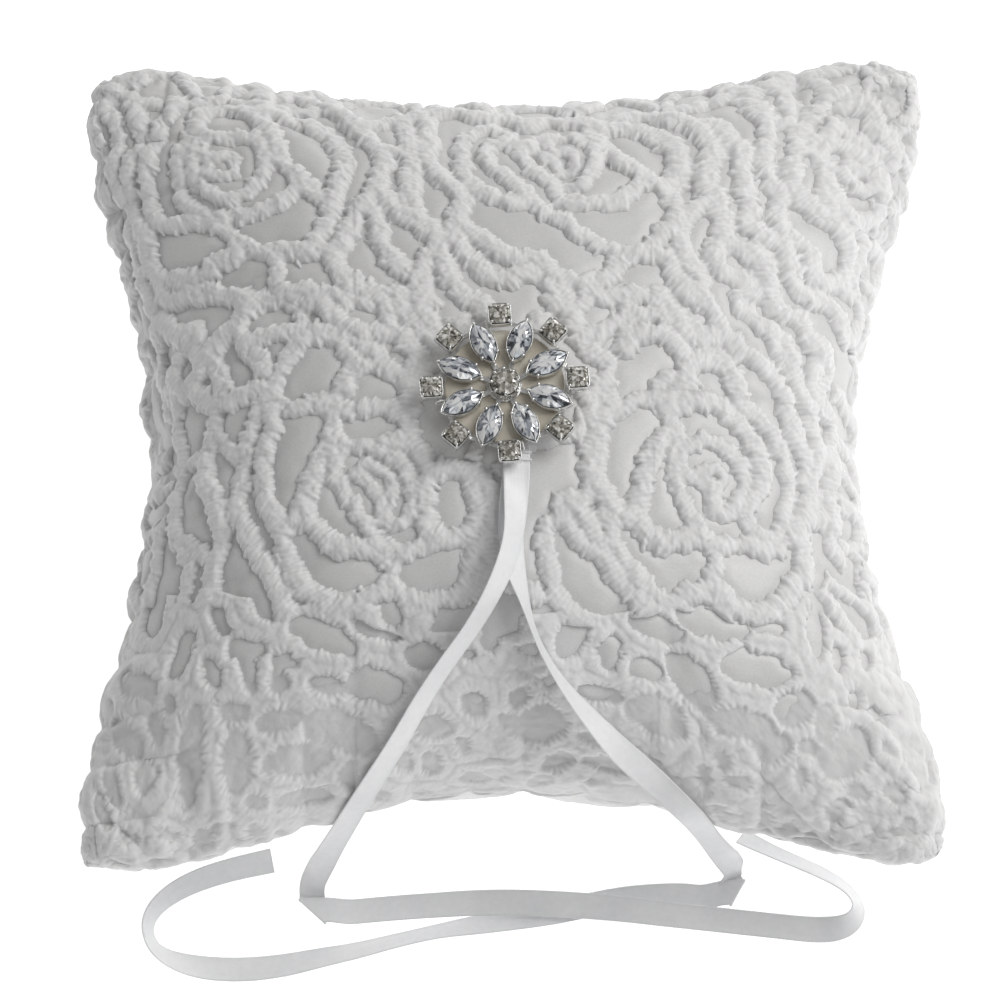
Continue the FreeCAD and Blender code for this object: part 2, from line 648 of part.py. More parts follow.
def strip(points, label):
    """Flat strip of ribbon along a route, square-ended and closed."""
    P, T, U = route_path(points, label)
    n = len(P)
    rings, side, tangents = [], None, []
    for i in range(n):
        t = (P[min(n - 1, i + 1)] - P[max(0, i - 1)]).normalize()
        up = (U[i] - t * U[i].dot(t)).normalize()
        flat = up.cross(t).normalize()
        a = math.radians(T[i])
        w = flat * math.cos(a) + up * math.sin(a)
        if side is not None and w.dot(side) < 0:
            w = w * -1
        side = w
        nn = t.cross(w).normalize()
        h, k = w * (RW / 2), nn * (RT / 2)
        rings.append([P[i] - h - k, P[i] + h - k, P[i] + h + k, P[i] - h + k])
        tangents.append(t)
    faces = []

    def tri(a, b, c):
        faces.append(Part.Face(Part.makePolygon([a, b, c, a])))

    for i in range(n - 1):
        A_, B_ = rings[i], rings[i + 1]
        for k in range(4):
            j = (k + 1) % 4
            tri(A_[k], A_[j], B_[j])
            tri(A_[k], B_[j], B_[k])
    faces.append(Part.Face(Part.makePolygon(rings[0] + [rings[0][0]])))
    faces.append(Part.Face(Part.makePolygon(rings[-1] + [rings[-1][0]])))
    so = shell_solid(faces)
    length = sum((P[i + 1] - P[i]).Length for i in range(n - 1))
    low = min(v.z for r in rings for v in r)
    print(label, "length mm:", round(length, 1), "volume:", round(so.Volume, 1),
          "section x length:", round(RW * RT * length, 1), "lowest z:", round(low, 3), "sections:", n)
    return so


feature("ribbon_left_tail", strip(LEFT, "left tail"))
feature("ribbon_right_tail", strip(RIGHT, "right tail"))

# tack stitches: two thread bars over the folded ribbon with legs down into the lace, under the
# lowest square setting
tack = []
tr = S("thread_radius")
bar_z = S("fold_base") + 2 * RT + FG + tr + 0.06
for i, dy in enumerate((1.3, 3.1)):
    half = RW / 2 + tr + 0.15
    bar = doc.addObject("Part::Cylinder", "TackBar%d" % i)
    bind(bar, "Radius", "Sizes.thread_radius")
    bind(bar, "Height", "Sizes.ribbon_wide + 2 * Sizes.thread_radius + 0.3")
    bar.Placement = FreeCAD.Placement(V(EXIT_X - half, EXIT_Y + dy, bar_z), FreeCAD.Rotation(V(0, 1, 0), 90))
    tack.append(bar)
    for k, sx in enumerate((-1, 1)):
        leg = doc.addObject("Part::Cylinder", "TackLeg%d%d" % (i, k))
        bind(leg, "Radius", "Sizes.thread_radius")
        bind(leg, "Height", "Sizes.tack_leg")
        leg.Placement = FreeCAD.Placement(
            V(EXIT_X + sx * half, EXIT_Y + dy, bar_z - S("tack_leg")), FreeCAD.Rotation())
        tack.append(leg)
mf2 = doc.addObject("Part::MultiFuse", "TackLoops")
mf2.Shapes = tack
keep(mf2, "ribbon_tack_stitches")
keep(mf, "brooch_stitches")

# ---------------------------------------------------------------- checks and files
doc.recompute()
bad = []
for o in doc.Objects:
    st = [str(x) for x in getattr(o, "State", [])]
    if "Invalid" in st or "Error" in st:
        bad.append("%s is %s" % (o.Name, st))
for o in parts:
    sh = o.Shape
    if sh.isNull() or not sh.isValid():
        bad.append("%s has no valid shape" % o.Label)
    elif not sh.Solids:
        bad.append("%s has no solid" % o.Label)
if bad:
    raise SystemExit("stopped: " + "; ".join(bad))
os.makedirs("parts", exist_ok=True)
for o in parts:
    o.Shape.exportStep(os.path.join("parts", o.Label + ".step"))
    bb = o.Shape.BoundBox
    print("%-24s solids %2d  volume %10.1f  x %7.2f..%7.2f  y %7.2f..%7.2f  z %6.2f..%6.2f" % (
        o.Label, len(o.Shape.Solids), o.Shape.Volume, bb.XMin, bb.XMax, bb.YMin, bb.YMax, bb.ZMin, bb.ZMax))
print("nodes:", len(parts))
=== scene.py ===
"""Ring bearer pillow: satin pillow, corded rose lace, jewelled brooch and one ribbon with two tails."""

import json
import math

import bpy
import numpy as np
from mathutils import Matrix, Vector
from mathutils.bvhtree import BVHTree

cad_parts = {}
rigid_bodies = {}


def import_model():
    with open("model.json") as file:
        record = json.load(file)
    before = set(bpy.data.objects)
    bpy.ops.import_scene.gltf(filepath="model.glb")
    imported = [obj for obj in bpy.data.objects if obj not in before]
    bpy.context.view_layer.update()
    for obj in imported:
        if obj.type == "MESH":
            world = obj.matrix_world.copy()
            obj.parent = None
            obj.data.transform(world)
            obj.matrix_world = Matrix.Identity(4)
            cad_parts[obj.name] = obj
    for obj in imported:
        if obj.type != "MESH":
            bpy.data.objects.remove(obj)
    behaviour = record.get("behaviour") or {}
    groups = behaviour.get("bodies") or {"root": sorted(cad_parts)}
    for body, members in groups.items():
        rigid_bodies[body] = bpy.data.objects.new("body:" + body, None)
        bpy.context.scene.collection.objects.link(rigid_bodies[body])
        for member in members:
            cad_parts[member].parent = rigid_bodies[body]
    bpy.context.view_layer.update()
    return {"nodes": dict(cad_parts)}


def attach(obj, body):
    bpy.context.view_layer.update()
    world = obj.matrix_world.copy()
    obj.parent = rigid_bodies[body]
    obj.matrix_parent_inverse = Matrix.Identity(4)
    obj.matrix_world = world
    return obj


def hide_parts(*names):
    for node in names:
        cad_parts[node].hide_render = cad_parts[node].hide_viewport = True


for old in list(bpy.data.objects):
    bpy.data.objects.remove(old)
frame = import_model()
nodes = frame["nodes"]
scene = bpy.context.scene
scene.view_settings.view_transform = "Standard"
MM = 0.001
rng = np.random.default_rng(20261)


def link(ob):
    scene.collection.objects.link(ob)
    return ob


# ------------------------------------------------------------------ camera
ELEV, DIST, FOCAL_PX = math.radians(70.0), 1750.0, 7437.5
ROLL = math.radians(0.6)
fwd = Vector((0, math.cos(ELEV), -math.sin(ELEV)))
right0, up0 = Vector((1, 0, 0)), Vector((0, math.sin(ELEV), math.cos(ELEV)))
right = right0 * math.cos(ROLL) - up0 * math.sin(ROLL)
up = up0 * math.cos(ROLL) + right0 * math.sin(ROLL)
aim = Vector((0, 0, 32.0)) + right * (-9 / 4.25) + up * (-36 / 4.25)
eye = aim - fwd * DIST
cam_data = bpy.data.cameras.new("camera")
cam_data.sensor_width = 36.0
cam_data.lens = 36.0 * FOCAL_PX / 1001.0
cam_data.clip_start, cam_data.clip_end = 0.05, 20.0
cam = link(bpy.data.objects.new("camera", cam_data))
cam.matrix_world = Matrix((
    (right.x, up.x, -fwd.x, eye.x * MM),
    (right.y, up.y, -fwd.y, eye.y * MM),
    (right.z, up.z, -fwd.z, eye.z * MM),
    (0, 0, 0, 1)))
scene.camera = cam


# ------------------------------------------------------------------ the pillow's form
HALF, ROUND, PULL_L, PULL_R, PULL_T, PULL_B = 101.3, 0.035, 0.17, 0.205, 0.125, 0.205
SEAM, FRONT, BACK, POWER = 32.0, 44.0, 41.0, 1.2


def form(sg, tu, crown, off):
    """Plan and height over the seam of the pillow's form, in mm, for arrays sg and tu from -1 to 1."""
    a, b = np.sin(sg * np.pi / 2), np.sin(tu * np.pi / 2)
    px = np.where(a < 0, PULL_L, PULL_R)
    py = np.where(b < 0, PULL_B, PULL_T)
    c = ROUND * a ** 6 * b ** 6
    side = HALF + off
    x = side * a * (1 - px * a * a * (1 - b * b) ** 2 - c)
    y = side * b * (1 - py * b * b * (1 - a * a) ** 2 - c)
    k = np.clip(np.cos(sg * np.pi / 2) * np.cos(tu * np.pi / 2), 0, 1)
    z = (crown + off) * k ** POWER
    return np.stack([x, y, z], -1)


def front_form(sg, tu, off=0.0):
    p = form(sg, tu, FRONT, off)
    p[..., 2] += SEAM
    return p


def back_form(sg, tu, off=0.0, floor=0.05):
    p = form(sg, tu, BACK, off)
    p[..., 2] = np.maximum(SEAM - p[..., 2], floor)
    return p


def normals_of(P):
    """Unit normals of a grid of points."""
    n = np.cross(np.gradient(P, axis=0), np.gradient(P, axis=1))
    return n / np.maximum(np.linalg.norm(n, axis=-1, keepdims=True), 1e-9)


def cubic_weights(at, n):
    """Rows that interpolate n evenly spaced values at the positions at, from 0 to n - 1."""
    at = np.clip(np.asarray(at, float), 0, n - 1)
    i = np.minimum(np.floor(at).astype(int), n - 2)
    f = at - i
    w = np.stack([-0.5 * f + f ** 2 - 0.5 * f ** 3, 1 - 2.5 * f ** 2 + 1.5 * f ** 3,
                  0.5 * f + 2 * f ** 2 - 1.5 * f ** 3, -0.5 * f ** 2 + 0.5 * f ** 3], -1)
    W = np.zeros((len(at), n))
    rows = np.arange(len(at))
    for k, o in enumerate((-1, 0, 1, 2)):
        j = i + o
        lo, hi = j < 0, j > n - 1
        ok = ~(lo | hi)
        np.add.at(W, (rows[ok], j[ok]), w[ok, k])
        # past an end the values go on in a straight line
        np.add.at(W, (rows[lo], np.zeros(lo.sum(), int)), 2 * w[lo, k])
        np.add.at(W, (rows[lo], np.ones(lo.sum(), int)), -w[lo, k])
        np.add.at(W, (rows[hi], np.full(hi.sum(), n - 1)), 2 * w[hi, k])
        np.add.at(W, (rows[hi], np.full(hi.sum(), n - 2)), -w[hi, k])
    return W


def smooth_noise(shape, cell, seed, octaves=1):
    """Smooth noise on a grid, about -1 to 1, with features cell grid steps across."""
    r = np.random.default_rng(seed)
    out = np.zeros(shape)
    amp, tot = 1.0, 0.0
    for o in range(octaves):
        c = cell / 2 ** o
        m = [max(4, int(math.ceil(s / c)) + 3) for s in shape]
        g = r.uniform(-1, 1, m)
        ws = [cubic_weights(np.arange(s) / c + 1.0, k) for s, k in zip(shape, m)]
        out += amp * (ws[0] @ g @ ws[1].T)
        tot += amp
        amp *= 0.5
    return out / tot * 1.5


# ------------------------------------------------------------------ material helpers
def material(name):
    m = bpy.data.materials.new(name)
    m.use_nodes = True
    nt = m.node_tree
    for n in list(nt.nodes):
        nt.nodes.remove(n)
    out = nt.nodes.new("ShaderNodeOutputMaterial")
    bsdf = nt.nodes.new("ShaderNodeBsdfPrincipled")
    nt.links.new(bsdf.outputs[0], out.inputs[0])
    return m, nt, bsdf


def node(nt, kind, **inputs):
    n = nt.nodes.new(kind)
    for k, v in inputs.items():
        if k.startswith("p_"):
            setattr(n, k[2:], v)
        else:
            n.inputs[k.replace("_", " ")].default_value = v
    return n


def ramp(nt, src, stops, interp="LINEAR"):
    r = nt.nodes.new("ShaderNodeValToRGB")
    r.color_ramp.interpolation = interp
    el = r.color_ramp.elements
    while len(el) < len(stops):
        el.new(0.5)
    for e, (p, c) in zip(el, stops):
        e.position = p
        e.color = (*c, 1) if len(c) == 3 else c
    nt.links.new(src, r.inputs[0])
    return r.outputs[0]


def maths(nt, op, a, b=None, c=None):
    n = nt.nodes.new("ShaderNodeMath")
    n.operation = op
    for i, v in enumerate((a, b, c)):
        if v is None:
            continue
        if isinstance(v, (int, float)):
            n.inputs[i].default_value = v
        else:
            nt.links.new(v, n.inputs[i])
    return n.outputs[0]


def coords(nt):
    return nt.nodes.new("ShaderNodeTexCoord").outputs["Object"]


def bump(nt, height, strength, distance, normal=None):
    b = node(nt, "ShaderNodeBump", Strength=strength, Distance=distance)
    nt.links.new(height, b.inputs["Height"])
    if normal is not None:
        nt.links.new(normal, b.inputs["Normal"])
    return b.outputs[0]


def noise(nt, vec, scale, detail=2.0, rough=0.5):
    n = node(nt, "ShaderNodeTexNoise", Scale=scale, Detail=detail, Roughness=rough)
    nt.links.new(vec, n.inputs["Vector"])
    return n


def attr(nt, name):
    n = nt.nodes.new("ShaderNodeAttribute")
    n.attribute_name = name
    return n


def set_in(bsdf, **kw):
    for k, v in kw.items():
        bsdf.inputs[k.replace("_", " ")].default_value = v


def mat_lace():
    m, nt, b = material("lace_cotton")
    co = coords(nt)
    # painted shade: the lace is coloured darker between its ribs, towards its cords' edges, where cords meet and where
    # it lies low, and lighter on the rib crests
    a = attr(nt, "painted_relief_shade")
    n1 = noise(nt, co, 260, 3)
    tone = maths(nt, "MULTIPLY_ADD", n1.outputs[0], 0.10, maths(nt, "MULTIPLY", a.outputs["Fac"], 0.92))
    col = ramp(nt, tone, [(0.0, (0.62, 0.62, 0.62)), (0.40, (0.715, 0.715, 0.715)), (1.0, (0.79, 0.79, 0.79))])
    nt.links.new(col, b.inputs["Base Color"])
    r = maths(nt, "MULTIPLY_ADD", n1.outputs[0], 0.12, 0.80)
    nt.links.new(r, b.inputs["Roughness"])
    f1 = noise(nt, co, 3200, 3, 0.6)
    f2 = noise(nt, co, 1100, 2, 0.5)
    w = maths(nt, "ADD", maths(nt, "MULTIPLY", f1.outputs[0], 0.45), maths(nt, "MULTIPLY", f2.outputs[0], 0.55))
    nt.links.new(bump(nt, w, 0.45, 0.0003), b.inputs["Normal"])
    set_in(b, Sheen_Weight=0.35, Sheen_Roughness=0.5, Specular_IOR_Level=0.25,
           Subsurface_Weight=0.6, Subsurface_Scale=0.0016)
    b.inputs["Subsurface Radius"].default_value = (1.0, 1.0, 1.0)
    return m


def mat_satin(name="satin", tone=0.67, scale=1.0):
    """Satin: fine long floats running across, a soft sheen and faint slubs."""
    m, nt, b = material(name)
    co = coords(nt)
    mp = node(nt, "ShaderNodeMapping")
    mp.inputs["Scale"].default_value = (500 * scale, 3600 * scale, 1500 * scale)
    nt.links.new(co, mp.inputs["Vector"])
    fl = noise(nt, mp.outputs[0], 1.0, 2)
    slub = noise(nt, co, 45 * scale, 3)
    grain = noise(nt, co, 1700 * scale, 3, 0.65)
    t = maths(nt, "MULTIPLY_ADD", slub.outputs[0], 0.4, maths(nt, "MULTIPLY", grain.outputs[0], 0.6))
    col = ramp(nt, t, [(0.30, (tone * 0.90, tone * 0.90, tone * 0.90)), (0.70, (tone * 1.06, tone * 1.06, tone * 1.055))])
    nt.links.new(col, b.inputs["Base Color"])
    nt.links.new(maths(nt, "MULTIPLY_ADD", fl.outputs[0], 0.16, 0.42), b.inputs["Roughness"])
    h = maths(nt, "MULTIPLY_ADD", fl.outputs[0], 0.8, maths(nt, "MULTIPLY", grain.outputs[0], 0.5))
    nt.links.new(bump(nt, h, 0.22, 0.0002), b.inputs["Normal"])
    set_in(b, Sheen_Weight=0.2, Sheen_Roughness=0.35, Specular_IOR_Level=0.9)
    return m


def mat_ribbon():
    """Narrow double-face satin ribbon: cross floats inside, a woven edge each side."""
    m, nt, b = material("ribbon_satin")
    a = attr(nt, "across")        # -1 to 1 across, from edge to edge
    s = attr(nt, "along")         # mm along
    edge = maths(nt, "ABSOLUTE", a.outputs["Fac"])
    wv = maths(nt, "SINE", maths(nt, "MULTIPLY", s.outputs["Fac"], 2 * math.pi / 0.42))
    fine = maths(nt, "SINE", maths(nt, "MULTIPLY", a.outputs["Fac"], 58.0))
    is_edge = node(nt, "ShaderNodeMapRange", From_Min=0.84, From_Max=0.88)
    nt.links.new(edge, is_edge.inputs["Value"])
    co = coords(nt)
    n1 = noise(nt, co, 700, 2)
    n2 = noise(nt, co, 60, 2)
    tone = maths(nt, "MULTIPLY_ADD", n1.outputs[0], 0.35, maths(nt, "MULTIPLY", n2.outputs[0], 0.65))
    tone = maths(nt, "SUBTRACT", tone, maths(nt, "MULTIPLY", is_edge.outputs[0], maths(nt, "MULTIPLY_ADD", wv, 0.08, 0.10)))
    col = ramp(nt, tone, [(0.2, (0.765, 0.775, 0.79)), (0.7, (0.895, 0.90, 0.908))])
    nt.links.new(col, b.inputs["Base Color"])
    h = maths(nt, "ADD", maths(nt, "MULTIPLY", wv, maths(nt, "MULTIPLY_ADD", is_edge.outputs[0], 0.9, 0.12)),
              maths(nt, "MULTIPLY", fine, 0.18))
    h = maths(nt, "ADD", h, maths(nt, "MULTIPLY", n1.outputs[0], 0.5))
    nt.links.new(bump(nt, h, 0.25, 0.00015), b.inputs["Normal"])
    nt.links.new(maths(nt, "MULTIPLY_ADD", is_edge.outputs[0], 0.25, 0.33), b.inputs["Roughness"])
    set_in(b, Sheen_Weight=0.2, Sheen_Roughness=0.3, Specular_IOR_Level=0.45)
    return m


def mat_thread():
    m, nt, b = material("sewing_thread")
    co = coords(nt)
    w = node(nt, "ShaderNodeTexWave", Scale=900.0, Distortion=1.5, Detail=1.0)
    w.bands_direction = "DIAGONAL"
    nt.links.new(co, w.inputs["Vector"])
    n = noise(nt, co, 1500, 2)
    col = ramp(nt, n.outputs[0], [(0.3, (0.78, 0.78, 0.77)), (0.7, (0.90, 0.90, 0.89))])
    nt.links.new(col, b.inputs["Base Color"])
    nt.links.new(bump(nt, w.outputs["Fac"], 0.5, 0.00012), b.inputs["Normal"])
    set_in(b, Roughness=0.6, Sheen_Weight=0.25)
    return m


def mat_felt():
    m, nt, b = material("backing_felt")
    co = coords(nt)
    n1, n2 = noise(nt, co, 160, 3), noise(nt, co, 2500, 3, 0.65)
    t = maths(nt, "MULTIPLY_ADD", n1.outputs[0], 0.75, maths(nt, "MULTIPLY", n2.outputs[0], 0.3))
    col = ramp(nt, t, [(0.25, (0.42, 0.37, 0.29)), (0.6, (0.60, 0.56, 0.48)), (0.8, (0.68, 0.65, 0.58))])
    nt.links.new(col, b.inputs["Base Color"])
    nt.links.new(bump(nt, n2.outputs[0], 0.3, 0.0002), b.inputs["Normal"])
    set_in(b, Roughness=0.55, Specular_IOR_Level=0.4, Sheen_Weight=0.15)
    return m


def mat_silver():
    m, nt, b = material("silver_plate")
    co = coords(nt)
    n1, n2 = noise(nt, co, 420, 3), noise(nt, co, 2200, 2)
    col = ramp(nt, n1.outputs[0], [(0.3, (0.62, 0.62, 0.61)), (0.7, (0.90, 0.90, 0.89))])
    nt.links.new(col, b.inputs["Base Color"])
    nt.links.new(maths(nt, "MULTIPLY_ADD", n1.outputs[0], 0.22, 0.10), b.inputs["Roughness"])
    nt.links.new(bump(nt, n2.outputs[0], 0.12, 0.0001), b.inputs["Normal"])
    set_in(b, Metallic=1.0)
    return m


def mat_stone(name, stops, scale, rough=0.06, metal=0.35):
    """Foil-backed cut stone whose facets carry painted reflections: each face gets a random tone from near black to
    white, broken into shards that stand for the facets behind.
    """
    m, nt, b = material(name)
    v = node(nt, "ShaderNodeTexVoronoi", Scale=scale, Randomness=1.0)
    v.feature = "F1"
    nt.links.new(attr(nt, "shard").outputs["Vector"], v.inputs["Vector"])
    sep = nt.nodes.new("ShaderNodeSeparateColor")
    nt.links.new(v.outputs["Color"], sep.inputs[0])
    f = attr(nt, "facet_reflection")
    t = maths(nt, "ADD", maths(nt, "MULTIPLY", sep.outputs[0], 0.55), maths(nt, "MULTIPLY", f.outputs["Fac"], 0.45))
    col = ramp(nt, t, stops)
    nt.links.new(col, b.inputs["Base Color"])
    set_in(b, Roughness=rough, Metallic=metal, Coat_Weight=1.0, Coat_Roughness=0.02, IOR=1.55)
    return m


def mat_fill():
    m, nt, b = material("fibre_filling")
    co = coords(nt)
    n1, n2 = noise(nt, co, 90, 4), noise(nt, co, 1400, 3)
    col = ramp(nt, n1.outputs[0], [(0.3, (0.80, 0.80, 0.79)), (0.7, (0.92, 0.92, 0.91))])
    nt.links.new(col, b.inputs["Base Color"])
    h = maths(nt, "ADD", n1.outputs[0], maths(nt, "MULTIPLY", n2.outputs[0], 0.3))
    nt.links.new(bump(nt, h, 0.6, 0.001), b.inputs["Normal"])
    set_in(b, Roughness=0.95, Sheen_Weight=0.4)
    return m


# The front satin is coloured darker than the back's 0.84 copy of the same cloth: painted shade for the lace's openings.
LACE, SATIN, RIBBON, THREAD = mat_lace(), mat_satin(), mat_ribbon(), mat_thread()
BACK_SATIN = mat_satin("back_satin", 0.84)
FELT, SILVER, FILL = mat_felt(), mat_silver(), mat_fill()
# The stone tones are painted reflections: near black where a face would mirror the dim room, white where it would
# mirror a lamp.
CLEAR = mat_stone("clear_stone", [
    (0.10, (0.03, 0.035, 0.042)), (0.24, (0.13, 0.145, 0.17)), (0.38, (0.38, 0.41, 0.46)),
    (0.52, (0.72, 0.75, 0.80)), (0.64, (1.0, 1.0, 1.0))], 1.0)
SMOKE = mat_stone("smoke_stone", [
    (0.12, (0.04, 0.037, 0.03)), (0.30, (0.17, 0.16, 0.13)), (0.50, (0.38, 0.365, 0.32)),
    (0.68, (0.60, 0.585, 0.53)), (0.84, (0.97, 0.96, 0.93))], 1.0)


def add_mesh(name, verts_mm, faces, mat, smooth=True, normals=None, point_attrs=(), face_attrs=(), loop_vec=None):
    """Object from points in mm and a quad or triangle index array or list."""
    me = bpy.data.meshes.new(name)
    v = np.asarray(verts_mm, np.float64).reshape(-1, 3) * MM
    if isinstance(faces, np.ndarray):
        k = faces.shape[1]
        me.vertices.add(len(v))
        me.vertices.foreach_set("co", v.astype(np.float32).ravel())
        me.loops.add(faces.size)
        me.loops.foreach_set("vertex_index", faces.astype(np.int32).ravel())
        me.polygons.add(len(faces))
        me.polygons.foreach_set("loop_start", (np.arange(len(faces)) * k).astype(np.int32))
        me.update(calc_edges=True)
    else:
        me.from_pydata([tuple(p) for p in v], [], [tuple(f) for f in faces])
    me.validate()
    me.materials.append(mat)
    me.polygons.foreach_set("use_smooth", np.full(len(me.polygons), bool(smooth)))
    for nm, vals in point_attrs:
        me.attributes.new(nm, "FLOAT", "POINT").data.foreach_set("value", np.asarray(vals, np.float32).ravel())
    for nm, vals in face_attrs:
        me.attributes.new(nm, "FLOAT", "FACE").data.foreach_set("value", np.asarray(vals, np.float32).ravel())
    if loop_vec is not None:
        me.attributes.new(loop_vec[0], "FLOAT_VECTOR", "POINT").data.foreach_set(
            "vector", np.asarray(loop_vec[1], np.float32).ravel())
    if normals is not None:
        me.normals_split_custom_set_from_vertices([tuple(n) for n in normals])
    me.update()
    return link(bpy.data.objects.new(name, me))


def place(ob, slot, *replaced):
    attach(ob, "root")
    if replaced:
        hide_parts(*replaced)
    return ob


# ------------------------------------------------------------------ ribbon tails
# x, y, z of the strip's middle in mm and its turn about its own line: 0 flat, 90 on its edge
LEFT = [
    (1.6, -17.8, 79.15, 0), (1.3, -25.9, 78.57, -28), (0.9, -33.4, 79.32, -42),
    (-0.4, -40.3, 81.17, -44), (-3.7, -48.1, 80.19, -50), (-8.5, -54.6, 74.24, -54),
    (-14.5, -61.4, 69.80, -52), (-20.0, -67.7, 63.58, -48), (-24.4, -73.9, 58.18, -42),
    (-29.3, -79.7, 51.24, -34), (-33.6, -84.1, 44.00, -26), (-36.7, -87.1, 38.50, -20),
    (-39.4, -89.1, 31.00, -12), (-42.5, -90.4, 20.50, -4), (-45.3, -91.6, 9.60, 0),
    (-47.1, -93.3, 4.00, 0), (-47.7, -95.3, 1.70, 0), (-47.3, -97.8, 0.90, 0), (-45.3, -99.8, 0.80, 0),
    (-42.3, -100.5, 0.80, 0), (-35.9, -99.8, 1.00, 0), (-27.0, -99.3, 1.60, 0),
    (-17.9, -98.9, 2.20, 0), (-8.9, -98.7, 3.00, 10), (0.1, -98.9, 3.70, 20), (9.1, -99.4, 3.80, 22),
    (18.1, -100.0, 3.50, 16), (27.1, -100.7, 2.80, 8), (36.2, -101.8, 2.00, 0),
    (45.2, -102.8, 1.75, 0), (54.2, -103.8, 1.35, 0), (63.2, -104.8, 0.95, 0),
    (70.4, -105.6, 0.89, 10), (75.8, -105.7, 1.93, 32), (79.3, -104.3, 2.67, 52),
    (81.0, -101.4, 2.93, 62), (79.9, -98.0, 2.88, 60), (77.0, -95.0, 2.67, 52),
    (72.4, -92.1, 2.48, 46), (67.5, -89.8, 2.48, 46), (62.6, -87.6, 2.48, 46), (57.5, -85.0, 2.26, 40),
    (53.5, -82.7, 2.02, 34),
]
RIGHT = [
    (1.6, -17.8, 78.50, 0), (0.5, -25.4, 77.41, -12), (0.1, -31.0, 76.83, -20),
    (0.2, -36.2, 76.28, -24), (1.0, -41.8, 75.77, -40), (2.8, -48.1, 74.34, -70),
    (4.7, -54.3, 72.06, -80), (7.1, -59.7, 69.54, -79), (10.5, -64.8, 66.59, -76),
    (14.3, -69.2, 63.42, -68), (18.6, -73.3, 59.72, -55), (23.4, -77.4, 54.99, -38),
    (28.2, -80.6, 50.50, -20), (33.1, -83.7, 45.65, -8), (37.4, -87.1, 43.00, -2),
    (41.6, -89.9, 38.20, 0), (45.3, -90.8, 27.00, 0), (48.6, -90.7, 14.50, 0), (51.1, -91.0, 6.40, 0),
    (52.6, -92.3, 2.20, 0), (53.2, -94.8, 0.90, 0), (51.9, -97.3, 0.70, 0), (49.2, -98.2, 0.60, 0),
    (45.5, -97.8, 0.50, 0), (41.3, -96.7, 0.50, 0), (34.3, -96.7, 0.50, 0), (26.0, -97.3, 0.50, 0),
    (17.8, -98.8, 0.60, 4), (9.1, -100.8, 0.90, 8), (-0.1, -102.2, 1.20, 13), (-9.0, -103.8, 1.90, 26),
    (-17.9, -105.3, 2.33, 42), (-27.0, -107.4, 2.33, 42), (-36.0, -109.6, 2.10, 36),
    (-45.1, -111.3, 1.67, 26), (-54.0, -113.0, 0.99, 12), (-63.1, -113.8, 0.63, 5),
    (-72.0, -113.5, 0.79, 8), (-79.3, -112.0, 1.76, 28), (-83.7, -109.6, 2.67, 52),
    (-85.7, -106.2, 3.01, 66), (-85.9, -102.3, 3.05, 68), (-83.7, -98.4, 2.93, 62),
    (-78.8, -94.5, 2.67, 52), (-72.0, -91.4, 2.44, 45), (-63.8, -89.1, 2.33, 42),
    (-56.7, -87.5, 2.02, 34),
]
RIBBON_W, RIBBON_T = 6.0, 0.34


def pillow_up(p):
    """Which way is up off the pillow or the table at p."""
    if p[2] < 30.0:
        f = max(0.0, min(1.0, (p[2] - 4.0) / 22.0))
        n = np.array([0, -f, (1 - f) + 0.001])
    else:
        x, y = p[0] / HALF, p[1] / HALF
        nz = 0.9 if p[2] > 45 else 0.9 * (p[2] - 30) / 15.0 + 0.02
        n = np.array([x / max(0.08, 1 - x * x) * 0.5, y / max(0.08, 1 - y * y) * 0.5, nz])
    return n / np.linalg.norm(n)


def route_spline(name, route):
    cu = bpy.data.curves.new(name, "CURVE")
    cu.dimensions = "3D"
    cu.resolution_u = 16
    sp = cu.splines.new("NURBS")
    sp.points.add(len(route) - 1)
    for p, q in zip(sp.points, route):
        p.co = (q[0] * MM, q[1] * MM, q[2] * MM, 1)
    sp.order_u = 3
    sp.use_endpoint_u = True
    ob = link(bpy.data.objects.new(name, cu))
    bpy.context.view_layer.update()
    me = bpy.data.meshes.new_from_object(ob.evaluated_get(bpy.context.evaluated_depsgraph_get()))
    pts = np.array([v.co for v in me.vertices], float) / MM
    bpy.data.meshes.remove(me)
    bpy.data.objects.remove(ob)
    return pts


def along(line, step):
    """The spline's own points, with their distances and evenly spaced stations."""
    keep = np.concatenate([[True], np.linalg.norm(np.diff(line, axis=0), axis=1) > 1e-6])
    line = line[keep]
    s = np.concatenate([[0], np.cumsum(np.linalg.norm(np.diff(line, axis=0), axis=1))])
    n = int(round(s[-1] / step)) + 1
    at = np.linspace(0, s[-1], n)
    share = np.interp(at, s, np.linspace(0, 1, len(s)))
    P = np.stack([np.interp(at, s, line[:, k]) for k in range(3)], -1)
    return P, at, share, s[-1]


def smooth_rows(A, n):
    for _ in range(n):
        B = A.copy()
        B[1:-1] = 0.25 * A[:-2] + 0.5 * A[1:-1] + 0.25 * A[2:]
        A = B
    return A


def bezier(a, ta, b, tb, step=0.30):
    """A smooth run from a, leaving along ta, to b, arriving along tb."""
    d = np.linalg.norm(b - a) / 2.6
    t = np.linspace(0, 1, max(4, int(round(np.linalg.norm(b - a) / step))))[:, None]
    return ((1 - t) ** 3 * a + 3 * (1 - t) ** 2 * t * (a + ta * d)
            + 3 * (1 - t) * t * t * (b - tb * d) + t ** 3 * b)


